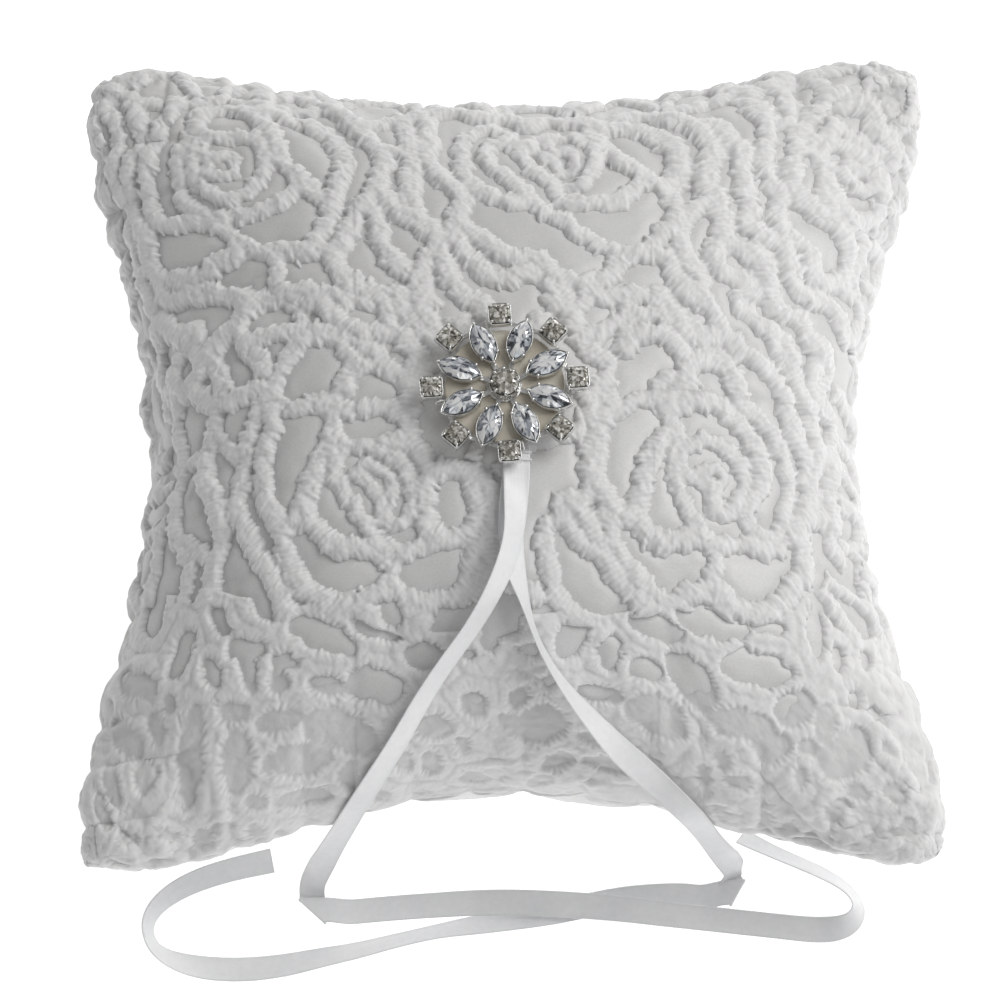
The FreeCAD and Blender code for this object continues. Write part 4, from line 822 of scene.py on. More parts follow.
    (4.5, [(37.4,-45.8),(36,-50.8),(38.8,-54.3)]),
    (5, [(62.3,-45.4),(63.7,-49.6),(64.7,-53.6),(66.3,-57)]),
    (5.5, [(34.2,-56.2),(35.1,-60.9),(37,-66),(40.6,-69.1),(45.8,-70.3),(49.6,-67.9),(53.9,-65.6),(57,-63),(61.6,-59.9),(66.3,-57.7)]),
    (5.5, [(46.7,-55.9),(47.1,-59.9),(50,-63.3),(54.7,-64.3)]),
    (5, [(15.8,-57.3),(17.3,-53.6),(14.7,-50.4),(11.6,-50.8),(10,-54.3),(9.5,-58.1)]),
    (5, [(6.4,-46.7),(6.9,-51.6),(9.5,-57.3),(14.7,-60.2),(21.4,-64.3),(26.9,-65.6),(32.8,-65.6)]),
    (5, [(21.4,-59.2),(23.9,-60.6),(28.4,-59.5),(32.8,-59.9)]),
    (5, [(-1.1,-49.6),(0.5,-54.3),(4.2,-58.8),(3.2,-64.3),(6.4,-68.2)]),
    (5, [(-11.6,-59.5),(-5.3,-62),(0.5,-62.7),(-5.8,-67.2),(-11.1,-70),(-13.2,-65.3),(-10.6,-60.2)]),
    (6, [(12.1,-66.3),(17.8,-66.3),(23.9,-68.8),(26.9,-73.8),(31.3,-77.9),(38.4,-78.4),(41.9,-73.8),(38.4,-71.5),(32.8,-67.2)]),
    (6, [(41.9,-74.7),(46.7,-73.8),(52.4,-74.1),(55.9,-71.2),(58.1,-66.9)]),
    (6, [(44.1,-77.1),(45.4,-83.3),(49.6,-85.4),(53.6,-81),(52.4,-76.8)]),
    (5, [(58.1,-66.3),(61.3,-68.5),(66.3,-68.8),(70.6,-66.9)]),
    (5.5, [(63.7,-61.6),(66.9,-63),(71.2,-62.7),(76.8,-61.6),(82.3,-64),(85.9,-67.2)]),
    (6, [(71.8,-42.8),(70.3,-50.4),(70.9,-56.2),(73.2,-60.6)]),
    (5, [(79.2,-41.9),(80.3,-48.8),(81.3,-54.7),(83.5,-59.9)]),
    (6, [(69.4,-70.3),(67.6,-75.2),(65.3,-80.3),(62,-85.7)]),
    (6, [(76.8,-68.8),(76.8,-74.9),(75.2,-81.8),(77.4,-88.9)]),
    (6, [(59.2,-72.7),(56.2,-79),(57.3,-84.7),(60.2,-90.9),(64,-95.7)]),
    (6, [(-20.9,-93.5),(-13.7,-94.1),(-5.8,-95.1),(1.6,-97),(9,-95.1),(16.8,-93.9),(23.9,-93.5),(31.3,-96.5),(37,-95.5),(44.1,-99),(50.8,-96.5),(58.8,-98.9),(65.6,-99.5),(73.5,-96.9),(82,-94.3),(90,-89.8)]),
    (5, [(84.7,-70.6),(88.4,-75.5),(92.2,-79.2),(85.2,-84.5),(87.1,-91.5)]),
    (6, [(-13.7,-83.7),(-5.8,-86.4),(1.6,-82.5),(7.9,-86.6),(15.3,-88),(23.9,-84.5),(28.4,-87.8)]),
    (6, [(-11.6,-74.9),(-4.2,-76),(-1.1,-71.2),(4.8,-72.1),(10.6,-75.2),(15.3,-81)]),
    (6, [(49.6,-87.3),(53.6,-91.5),(58.1,-91.8)]),
    (6, [(66.6,-83.5),(71.2,-87.1),(75.2,-91.3)]),
    (5, [(-75.9,24.6),(-69.4,10.6),(-72.6,-1.1),(-73.5,-12.7),(-68.4,-25.4),(-70.4,-36.5),(-73.2,-44.6)]),
    (4, [(-88.5,11.1),(-82.4,-5.3),(-82.9,-19.9),(-77.7,-32.8),(-79.4,-42.8),(-83.2,-50.8)]),
    (4.5, [(-65.7,-14.2),(-61.8,-28.9),(-62.5,-41.9),(-63.2,-52.4)]),
    (4, [(-72.6,-1.1),(-65.7,-8.5)]),
    (4, [(-72.6,-17.8),(-63.6,-22.9)]),
    (4, [(-81.3,-24.9),(-70.4,-31.8)]),
    (4, [(-84.2,-7.4),(-73.8,-6.4)]),
    (4.5, [(77.1,-31.3),(73.2,-45.4),(74.7,-57.7),(75.8,-69.1)]),
    (4.5, [(67.6,-50.8),(66.9,-63),(70.3,-73.8)]),
    (4.5, [(-83.2,-50.8),(-87.3,-57.7),(-90.2,-67.2),(-91.8,-76.8),(-92,-89.3)]),
    (4.5, [(-70.7,-45),(-75,-50.4),(-83.2,-50.8)]),
    (4.5, [(-52.5,20),(-40.4,18.4),(-31.4,12.2)]),
    (4.5, [(-59.6,28.6),(-47.5,29.6),(-35.7,25.6),(-26.5,27.6),(-17.9,24.1)]),
    (4.5, [(20.4,16.3),(29.9,21.5),(41.5,20),(48.4,13.2)]),
    (4.5, [(18.4,-1.1),(20.4,-10.6),(17.8,-22.4),(11.1,-24.9)]),
    (4.5, [(11.1,-24.9),(15.3,-33.7),(22.4,-38.4)]),
    (4.5, [(7.4,-35.1),(10.6,-47.1),(17.3,-53.6)]),
    (4.5, [(-9,-38.4),(-4.2,-29.4),(-5.3,-19.9)]),
]

# openings of the lower band: middle, long half axis, short half axis, in mm of flat cloth
OPENINGS = [
    (-87.2, -39.6, 0, -5.4, -3.4, 1.2),
    (-67.1, -46.2, 1.9, -3, -1.3, -0.5),
    (-55.5, -45.8, 3.4, -2.4, -0.8, -1.4),
    (-43.2, -52.9, 6.7, -3.5, -1.1, -2.4),
    (-28.7, -51.7, 6.7, -1, -0.4, -3.1),
    (-60.1, -53.2, 3.6, -0.6, 0.1, -2),
    (-59.6, -58.3, 1, -3.9, -1.8, 0),
    (-67.6, -56.9, 0.9, -3, -1.6, 0),
    (-51.3, -57.4, 2.5, -0.7, -0.2, -1.3),
    (-52.5, -61.2, 1.2, -2, -1.4, -0.7),
    (-76.1, -51.4, -1.3, -4.5, -2.1, 0.9),
    (-87.2, -55.8, 5.9, -2.4, -0.7, -2.4),
    (-62.3, -65.7, 2.9, -0.4, 0, -1.8),
    (-52.2, -69.3, 4.5, 0.4, 0.5, -2),
    (-38.8, -74.7, 7.3, -4.2, -1.5, -3.5),
    (-41.5, -63.7, 4.1, -1.2, -0.4, -1.8),
    (-31.3, -65.5, 5.8, -2, -0.7, -3.5),
    (-77.8, -60.9, 0.3, -2, -1.3, 0.3),
    (-80.2, -65.5, 1.7, -2.9, -1.6, -0.1),
    (-89.1, -66, 5.4, -4.1, -2.3, -0.8),
    (-71.3, -73, -0.3, -9.4, -2.5, 0.8),
    (-61.2, -76.4, -0.5, -6, -2.8, 0.9),
    (-48.1, -79.2, 6.4, -1, 0.3, -3.3),
    (-47.2, -89.3, 5.5, -1, 0.2, -2.2),
    (-81.6, -75.3, 0.3, -3.1, -2.2, 0.4),
    (-90.3, -75.6, 2.2, -3.9, -1.9, -0.1),
    (-57.6, -86.4, 1.7, -0.6, 0, -1.6),
    (-92.4, -82.4, 0.7, -4, -1.4, 0),
    (-68.8, -93.8, 0.9, -3.5, -1.4, -0.7),
    (-63.4, -97.4, -0.1, -3.6, -1.3, 0.8),
    (-57.3, -96.5, 0.9, -3.8, -1, -0.5),
    (-76.5, -90.1, 1.8, -0.5, -0.1, -1.1),
    (-52.2, -99.5, 1.2, -1, -0.2, -1.7),
    (-64.5, -91, 1.6, 0.2, 0.3, -1.2),
    (-37, -85.8, -0.5, -3, -1.2, 0.7),
    (-19.7, -59.9, 4.4, -1.1, -0.4, -2.7),
    (-2.4, -53.5, 3.6, -0.1, 0, -2.5),
    (-9.5, -59.6, 1.8, -0.8, -0.2, -0.9),
    (-5.2, -57.4, 2, -0.4, -0.2, -1.3),
    (4, -59.1, 2.4, 0, 0, -1.3),
    (13.4, -56.3, -1.6, -3.9, -2.5, 0.8),
    (22.3, -59.1, -1.1, -3, -1.9, 0.7),
    (30.1, -62.7, 3.7, -0.7, -0.4, -2),
    (8.3, -66.9, 1.9, 0.7, 0.4, -1.3),
    (20, -69, 4.5, -0.1, -0.2, -1.8),
    (-8.7, -71.5, 2.6, -1.8, -1, -2.1),
    (1.2, -70.4, -1.2, -2.2, -1.2, 0.9),
    (-18.1, -76.2, 3.9, -1.2, -0.4, -2.5),
    (6.4, -77, 5.1, 1.7, 1, -4.3),
    (-0.8, -75.8, 1.6, 0, -0.2, -1.2),
    (17.7, -79.9, 2, -0.2, -0.2, -1.3),
    (-11.5, -82.4, 0.8, -2, -1, -0.6),
    (32.3, -73, 5.5, -2, -1.4, -3.5),
    (-18.9, -86.5, 1.2, -2.9, -1.5, -1),
    (9.9, -87.6, 3.3, 1.6, 0.4, -1.6),
    (21.2, -87.1, 4.2, -0.5, -0.2, -1.6),
    (6.4, -93.8, 2, 1.6, 0.4, -1.6),
    (-20.1, -98.9, 1.9, -0.7, 0, -2.5),
    (-13.5, -101, 1.6, 0, 0, -0.9),
    (-0.4, -99.2, 1.4, -0.1, 0, -1.8),
    (-9.1, -93.7, 2.8, -0.4, 0, -2.1),
    (-25, -84.4, 1.5, -2.3, -1.1, -1.2),
    (-30.6, -94.6, 1.6, -0.5, 0, -2),
    (32.6, -52.9, 5.1, -1.7, -1.1, -2.2),
    (45.2, -50.5, 7.3, -1, -1, -2.9),
    (40.3, -64, 4.1, -4.7, -2.7, -2.5),
    (54.6, -59.3, 7.1, -0.3, -0.8, -3),
    (50.8, -71.3, 5.6, -0.1, -0.6, -2.8),
    (62.2, -66, 3.8, 1.9, 0.8, -2.8),
    (57.7, -49.9, 3.4, 0, -0.4, -1.5),
    (69.3, -48.7, -0.8, -5.3, -1.5, -0.2),
    (56.9, -75.3, 3.3, 1.8, 0.8, -2.3),
    (64.5, -73.9, 1.7, 0.5, 0, -1.3),
    (68.1, -67.9, 0.1, -3.4, -2, -0.6),
    (72.4, -73.5, 4.7, 4.1, 2.5, -2.6),
    (76.6, -61.7, 0, -1.8, -1.2, -0.5),
    (49.6, -84.6, 1.7, 0.5, 0, -1.5),
    (43.3, -85.8, 0.5, -3.4, -0.8, -0.4),
    (83.3, -80.5, 1.3, -2.1, -1.9, -1.1),
    (69.7, -86.2, 2.4, 2.4, 0.7, -1.6),
    (74.1, -80.9, 2, 0.4, -0.1, -1.6),
    (66, -96.4, 2.2, 1.1, 0, -3.3),
    (55.5, -94.9, 0, -3.1, -1, -0.5),
    (74.9, -94.7, 1.9, 0.7, 0.1, -1.9),
    (60.4, -96.1, 1.1, -1.6, -0.8, -2.2),
    (62.7, -80.3, -0.4, -2, -0.9, 0),
    (74.1, -54, -0.8, -2.6, -1.1, 0),
    (82.2, -52.9, -0.7, -1.8, -1.3, -0.3),
    (46.5, -94.3, 0.8, -1.9, -0.6, -1.1),
    (55.2, -89.5, 1, 0.5, 0, -0.9),
    (46.2, -80.1, 0.9, -1.6, -0.8, -0.6),
    (81.8, -64.5, 1.6, -1.2, -1, -0.7),
    (82.2, -71.1, 1.5, -0.5, -0.7, -0.9),
    (85.8, -88.4, 0.9, -2.2, -1.6, -0.8),
    (-85.7, -89.8, 2.2, -1.2, -0.7, -1.5),
    (82, -90.8, 1.9, -0.2, -0.1, -1.2),
]
BAND = [(-99.8,-36.5),(-83.4,-37.2),(-61.5,-41.9),(-47.5,-45.2),(-33.8,-47.4),(-20.4,-53.5),(-9.1,-53.2),(2,-51.1),(15.4,-51.1),(28.7,-48),(42.3,-46.2),(55.8,-46.8),(67.9,-42.3),(76.8,-49),(96.8,-44.6),(97.2,-49)]

# ------------------------------------------------------------------ satin cover: inflated cloth
GRID = 121
lin = np.linspace(-1, 1, GRID)
SGg, TUg = np.meshgrid(lin, lin, indexing="ij")
rim_dist = np.minimum(1 - np.abs(SGg), 1 - np.abs(TUg)) * 100.0      # about mm from the seam
PINCH = 0.9


def lobes(along, seed, pitch):
    """Rounded lobes between tight points of the seam, from 0 at a tight point up to 1."""
    r = np.random.default_rng(seed)
    knots = [-1.3 * HALF]
    while knots[-1] < 1.3 * HALF:
        knots.append(knots[-1] + pitch * r.uniform(0.6, 1.5))
    size = r.uniform(0.35, 1.0, len(knots))
    turn = np.interp(along, knots, np.arange(len(knots)))
    return size[np.floor(turn).astype(int)] * np.abs(np.sin(np.pi * turn)) ** 0.7


def cover_targets():
    pinch = -PINCH * np.exp(-(rim_dist / 2.2) ** 2)
    F, B = front_form(SGg, TUg, 0.0), back_form(SGg, TUg, 0.0)
    # the corners are stuffed full
    k = np.clip(np.cos(SGg * np.pi / 2) * np.cos(TUg * np.pi / 2), 0, 1)
    full = np.clip((np.abs(SGg * TUg) - 0.28) / 0.44, 0, 1)
    full = full * full * (3 - 2 * full)
    more = k ** (POWER - 0.42 * full) - k ** POWER
    F[..., 2] += FRONT * more
    B[..., 2] -= BACK * more
    # the edge bulges in lobes between its tight stitches, and puckers run in from them
    a, b = np.sin(SGg * np.pi / 2), np.sin(TUg * np.pi / 2)
    for axis, sign, seed, amp in ((0, -1, 81, 2.0), (0, 1, 82, 1.7), (1, -1, 83, 1.1), (1, 1, 84, 1.3)):
        across, along = (a, b) if axis == 0 else (b, a)
        far = HALF * (1 - sign * across)
        lobe = lobes(HALF * along, seed, 12.5) - 0.42
        F[..., axis] += sign * amp * lobe * np.exp(-far / 7)
        B[..., axis] += sign * amp * lobe * np.exp(-far / 7)
        lift = 1.5 * lobe * np.exp(-far / 11) * (1 - np.exp(-far / 2.5))
        F[..., 2] += lift
        B[..., 2] -= lift
    for P in (F, B):
        P[..., :2] *= (1 + pinch / HALF)[..., None]
    return F, B


def simulate_cover(F, B):
    """Blows the closed cover up from a slightly smaller shape, its seam held, with cloth to spare."""
    n = GRID
    idf = np.arange(n * n).reshape(n, n)
    inner = np.zeros((n, n), bool)
    inner[1:-1, 1:-1] = True
    idb = idf.copy()
    idb[inner] = n * n + np.arange(inner.sum())
    qf = np.stack([idf[:-1, :-1], idf[1:, :-1], idf[1:, 1:], idf[:-1, 1:]], -1).reshape(-1, 4)
    qb = np.stack([idb[:-1, :-1], idb[:-1, 1:], idb[1:, 1:], idb[1:, :-1]], -1).reshape(-1, 4)
    shrink = 0.985
    centre = np.array([0, 0, SEAM])
    r = np.random.default_rng(77)
    jit = smooth_noise((n, n), 5, 31)[..., None] * 0.25
    vf = (F - centre) * shrink + centre + normals_of(F) * jit
    vb = (B - centre) * shrink + centre + normals_of(B) * smooth_noise((n, n), 5, 32)[..., None] * 0.25
    verts = np.concatenate([vf.reshape(-1, 3), vb[inner]])
    me = bpy.data.meshes.new("cover_sim")
    me.from_pydata([tuple(p * MM) for p in verts], [], [tuple(q) for q in np.concatenate([qf, qb])])
    ob = link(bpy.data.objects.new("cover_sim", me))
    g = ob.vertex_groups.new(name="seam")
    g.add([int(i) for i in idf[~inner]], 1.0, "REPLACE")
    md = ob.modifiers.new("Cloth", "CLOTH")
    s = md.settings
    s.quality = 4
    s.mass = 0.2
    s.tension_stiffness = s.compression_stiffness = 12
    s.shear_stiffness = 6
    s.bending_stiffness = 0.15
    s.air_damping = 2
    s.vertex_group_mass = "seam"
    s.pin_stiffness = 1
    s.use_pressure = True
    s.uniform_pressure_force = 4
    s.shrink_min = s.shrink_max = -0.035
    s.effector_weights.gravity = 0
    md.collision_settings.use_collision = False
    md.point_cache.frame_start, md.point_cache.frame_end = 1, 20
    scene.frame_start, scene.frame_end = 1, 20
    for f in range(1, 21):
        scene.frame_set(f)
    ev = ob.evaluated_get(bpy.context.evaluated_depsgraph_get())
    co = np.zeros(len(verts) * 3, np.float32)
    ev.data.vertices.foreach_get("co", co)
    co = co.reshape(-1, 3).astype(float) / MM
    bpy.data.objects.remove(ob)
    bpy.data.meshes.remove(me)
    scene.frame_set(1)
    G, H = co[:n * n].reshape(n, n, 3).copy(), np.zeros((n, n, 3))
    H[~inner] = co[:n * n].reshape(n, n, 3)[~inner]
    H[inner] = co[n * n:]
    return G, H


def blur(A, k):
    for _ in range(k):
        B = A.copy()
        B[1:-1] = 0.25 * A[:-2] + 0.5 * A[1:-1] + 0.25 * A[2:]
        A = B.copy()
        A[:, 1:-1] = 0.25 * B[:, :-2] + 0.5 * B[:, 1:-1] + 0.25 * B[:, 2:]
    return A


cover_f, cover_b = cover_targets()
sim_f, sim_b = simulate_cover(cover_f, cover_b)
for nm, S_, C_ in (("front", sim_f, cover_f), ("back", sim_b, cover_b)):
    N_ = normals_of(C_)
    d = S_ - C_
    dn = np.sum(d * N_, -1)
    print("cover", nm, "moved mm: normal", np.percentile(dn, [1, 10, 50, 90, 99]).round(2), "any", np.linalg.norm(d, axis=-1).max().round(2))


def settle(C, S, keep, cap, side_cap):
    """Takes the simulation's folds, without its overall swelling, and caps how far a point moves."""
    N = normals_of(C)
    N *= np.sign(np.sum(N * (C - np.array([0, 0, SEAM])), -1).mean())
    d = S - C
    dn = np.sum(d * N, -1)
    dt = d - N * dn[..., None]
    fold = dn - blur(dn, 60)
    hold = np.clip(rim_dist / 3.0, 0, 1)
    fold = np.clip(fold * keep, -cap, cap) * hold
    L = np.linalg.norm(dt, axis=-1, keepdims=True)
    dt = dt * np.minimum(1, side_cap / np.maximum(L, 1e-6)) * hold[..., None]
    return C + N * fold[..., None] + dt * 0.5


cover_f = settle(cover_f, sim_f, 1.0, 0.75, 0.6)
cover_b = settle(cover_b, sim_b, 1.0, 1.4, 0.6)
cover_b[..., 2] = np.maximum(cover_b[..., 2], 0.05)


def cover_at(G, sg, tu):
    """Points of a cover grid at the tensor grid of sg and tu."""
    Wu = cubic_weights((np.asarray(sg) + 1) / 2 * (GRID - 1), GRID)
    Wv = cubic_weights((np.asarray(tu) + 1) / 2 * (GRID - 1), GRID)
    return np.einsum("ia,abk,jb->ijk", Wu, G, Wv, optimize=True)


def quads(n, m, flip=False):
    i = np.arange(n * m).reshape(n, m)
    q = np.stack([i[:-1, :-1], i[1:, :-1], i[1:, 1:], i[:-1, 1:]], -1).reshape(-1, 4)
    return q[:, ::-1].copy() if flip else q


# ------------------------------------------------------------------ lace pattern, in flat cloth
CELL = 0.30
mid_a = np.linspace(-1, 1, 4001)
mid_x = front_form(mid_a, mid_a * 0)
mid_y = front_form(mid_a * 0, mid_a)
arc_x = np.concatenate([[0], np.cumsum(np.linalg.norm(np.diff(mid_x, axis=0), axis=1))])
arc_y = np.concatenate([[0], np.cumsum(np.linalg.norm(np.diff(mid_y, axis=0), axis=1))])
arc_x -= np.interp(0, mid_a, arc_x)
arc_y -= np.interp(0, mid_a, arc_y)
NU = int((arc_x[-1] - arc_x[0]) / CELL) + 1
NV = int((arc_y[-1] - arc_y[0]) / CELL) + 1
lu = np.linspace(arc_x[0], arc_x[-1], NU)
lv = np.linspace(arc_y[0], arc_y[-1], NV)
lace_s, lace_t = np.interp(lu, arc_x, mid_a), np.interp(lv, arc_y, mid_a)
LIFT, RIB = 0.36, 1.20


def catmull(pts, step):
    P = np.array(pts, float)
    P = np.vstack([2 * P[0] - P[1], P, 2 * P[-1] - P[-2]])
    out = []
    for i in range(1, len(P) - 2):
        p0, p1, p2, p3 = P[i - 1:i + 3]
        n = max(2, int(np.linalg.norm(p2 - p1) / step) + 1)
        t = np.linspace(0, 1, n, endpoint=False)[:, None]
        out.append(0.5 * (2 * p1 + (p2 - p0) * t + (2 * p0 - 5 * p1 + 4 * p2 - p3) * t * t
                          + (3 * p1 - p0 - 3 * p2 + p3) * t ** 3))
    out.append(P[-2][None])
    return np.vstack(out)


def cord_height(d, side, s, width, r, wider=1.1):
    """Height over the satin of one corded line, lumped and ribbed across by its binding thread; also a tone of painted
    shade for it, light on the rib crests and the middle, darker between ribs and towards its edges.
    """
    n = int(np.max(s) / RIB) + 8
    wander = np.cumsum(r.uniform(0.62, 1.40, n)) * RIB
    slant = r.uniform(-0.55, 0.55)
    turn = np.interp(s + slant * side + 2.0, wander - wander[0] - RIB, np.arange(n))
    k = np.clip(np.floor(turn + 0.5).astype(int), 0, n - 1)
    lobe = np.abs(np.cos(np.pi * turn)) ** 0.62
    amp, fat = r.uniform(0.93, 1.05, n)[k], r.uniform(0.84, 1.12, n)[k]
    lean = r.uniform(-0.55, 0.55, n)[k]
    lump = np.interp(s, np.arange(n) * 3.1, r.uniform(0.90, 1.08, n))
    rad = width / 2 * (0.85 + 0.24 * lobe) * fat * lump * wider
    t = np.abs(d - lean * np.sign(side)) / rad
    body = np.clip(1 - t ** 2.5, 0, 1) ** 0.72
    h = LIFT * min(width, 5.2) * (0.94 + 0.06 * lobe) * amp * lump * body
    return np.where(t < 1, h, -(t - 1) * rad * 1.6), lobe * np.clip(body, 0, 1)


def tie_ends(strokes):
    """Carries each loose end on to the next cord ahead of it, so that the cords make one net."""
    dense = [catmull(p, 1.0) for w, p in strokes]
    extra = []
    for k, (w, p) in enumerate(strokes):
        others = np.vstack([q for j, q in enumerate(dense) if j != k])
        own = dense[k]
        for e, t in ((own[0], own[0] - own[min(3, len(own) - 1)]), (own[-1], own[-1] - own[-min(4, len(own))])):
            t = t / max(np.linalg.norm(t), 1e-9)
            v = others - e
            L = np.linalg.norm(v, axis=1)
            if L.min() < 2.6:
                continue
            ahead = (v @ t) / np.maximum(L, 1e-9)
            ok = (ahead > 0.35) & (L < 13.5)
            if not ok.any():
                continue
            cost = np.where(ok, L * (1.7 - ahead), 1e9)
            q = others[np.argmin(cost)]
            m = e + t * np.linalg.norm(q - e) * 0.5
            m = 0.55 * m + 0.45 * (e + q) / 2
            extra.append((min(w, 4.6), [tuple(e - t * 1.5), tuple(e), tuple(m), tuple(q)]))
    return strokes + extra


def band_top(u):
    """Where the closer band along the lower edge begins, in flat cloth."""
    return np.interp(u, [p[0] for p in BAND], [p[1] for p in BAND])


def draw_lace():
    H = np.full((NU, NV), -3.0)
    # C gathers the cords' painted shade tone, which colours the lace
    C = np.zeros((NU, NV))
    D = np.full((NU, NV), 99.0)
    upper = [(w, p) for w, p in STROKES if np.mean([q[1] < band_top(q[0]) for q in p]) < 0.5]
    for number, (width, pts) in enumerate(tie_ends(upper)):
        Q = catmull(pts, 0.35)
        seg = np.linalg.norm(np.diff(Q, axis=0), axis=1)
        s = np.concatenate([[0], np.cumsum(seg)])
        T = np.gradient(Q, axis=0)
        T /= np.maximum(np.linalg.norm(T, axis=1, keepdims=True), 1e-9)
        for a in range(0, len(Q), 40):
            q, t, ss = Q[a:a + 41], T[a:a + 41], s[a:a + 41]
            pad = width / 2 + 3.5
            i0, i1 = np.searchsorted(lu, [q[:, 0].min() - pad, q[:, 0].max() + pad])
            j0, j1 = np.searchsorted(lv, [q[:, 1].min() - pad, q[:, 1].max() + pad])
            if i1 <= i0 or j1 <= j0:
                continue
            X, Y = np.meshgrid(lu[i0:i1], lv[j0:j1], indexing="ij")
            dx, dy = X[..., None] - q[:, 0], Y[..., None] - q[:, 1]
            near = np.argmin(dx * dx + dy * dy, -1)
            ex = np.take_along_axis(dx, near[..., None], -1)[..., 0]
            ey = np.take_along_axis(dy, near[..., None], -1)[..., 0]
            tx, ty = t[near, 0], t[near, 1]
            side = tx * ey - ty * ex
            run = ss[near] + tx * ex + ty * ey
            inside = (near > 0) & (near < len(q) - 1)
            d = np.where(inside, np.abs(side), np.hypot(ex, ey)) + fray[i0:i1, j0:j1]
            rr = np.random.default_rng(1000 + number)
            h, lobe = cord_height(d, side, np.maximum(run, 0), width, rr, wide_map[i0:i1, j0:j1])
            old = H[i0:i1, j0:j1]
            up_ = h > old
            H[i0:i1, j0:j1] = np.where(up_, h, old)
            C[i0:i1, j0:j1] = np.where(up_, lobe, C[i0:i1, j0:j1])
            D[i0:i1, j0:j1] = np.minimum(D[i0:i1, j0:j1], np.hypot(ex, ey))
    return H, C, D


def fill_in(H, C, D):
    """The same cloth where the drawn figures stop: a loose net of cords round oval openings."""
    r = np.random.default_rng(4)
    pitch = 10.5
    seeds = []
    for i, u in enumerate(np.arange(arc_x[0] - pitch, arc_x[-1] + pitch, pitch * 0.9)):
        for v in np.arange(arc_y[0] - pitch, arc_y[-1] + pitch, pitch):
            p = np.array([u, v + (i % 2) * pitch / 2]) + r.uniform(-2.6, 2.6, 2)
            a = np.clip(np.searchsorted(lu, p[0]), 0, NU - 1)
            b = np.clip(np.searchsorted(lv, p[1]), 0, NV - 1)
            if D[a, b] > 5.2:
                seeds.append(p)
    seeds = np.array(seeds)
    ii, jj = np.nonzero(D > 2.6)
    X, Y = lu[ii], lv[jj]
    rr = np.random.default_rng(9)
    wob_x, wob_y = smooth_noise((NU, NV), 22, 41) * 1.2, smooth_noise((NU, NV), 22, 42) * 1.2
    for a in range(0, len(ii), 20000):
        x = X[a:a + 20000] + wob_x[ii[a:a + 20000], jj[a:a + 20000]]
        y = Y[a:a + 20000] + wob_y[ii[a:a + 20000], jj[a:a + 20000]]
        d2 = (x[:, None] - seeds[:, 0]) ** 2 + (y[:, None] - seeds[:, 1]) ** 2
        two = np.argpartition(d2, 2, axis=1)[:, :2]
        da = np.take_along_axis(d2, two, 1)
        two = np.sort(two, axis=1)
        p, q = seeds[two[:, 0]], seeds[two[:, 1]]
        ax = q - p
        L = np.linalg.norm(ax, axis=1)
        ax /= L[:, None]
        m = (p + q) / 2
        side = (x - m[:, 0]) * ax[:, 0] + (y - m[:, 1]) * ax[:, 1]
        run = -(x - m[:, 0]) * ax[:, 1] + (y - m[:, 1]) * ax[:, 0] + 40
        h, lobe = cord_height(np.abs(side), side, run, 4.6, np.random.default_rng(9), 1.15)
        far = (np.sqrt(da.min(1)) > 11.5) | (L > 19)
        h = np.where(far, -3, h)
        i_, j_ = ii[a:a + 20000], jj[a:a + 20000]
        old = H[i_, j_]
        up_ = h > old
        H[i_, j_] = np.where(up_, h, old)
        # C keeps the net's painted shade tone: light on rib crests, darker between ribs and at the cord edges
        C[i_, j_] = np.where(up_, lobe, C[i_, j_])
    return H, C


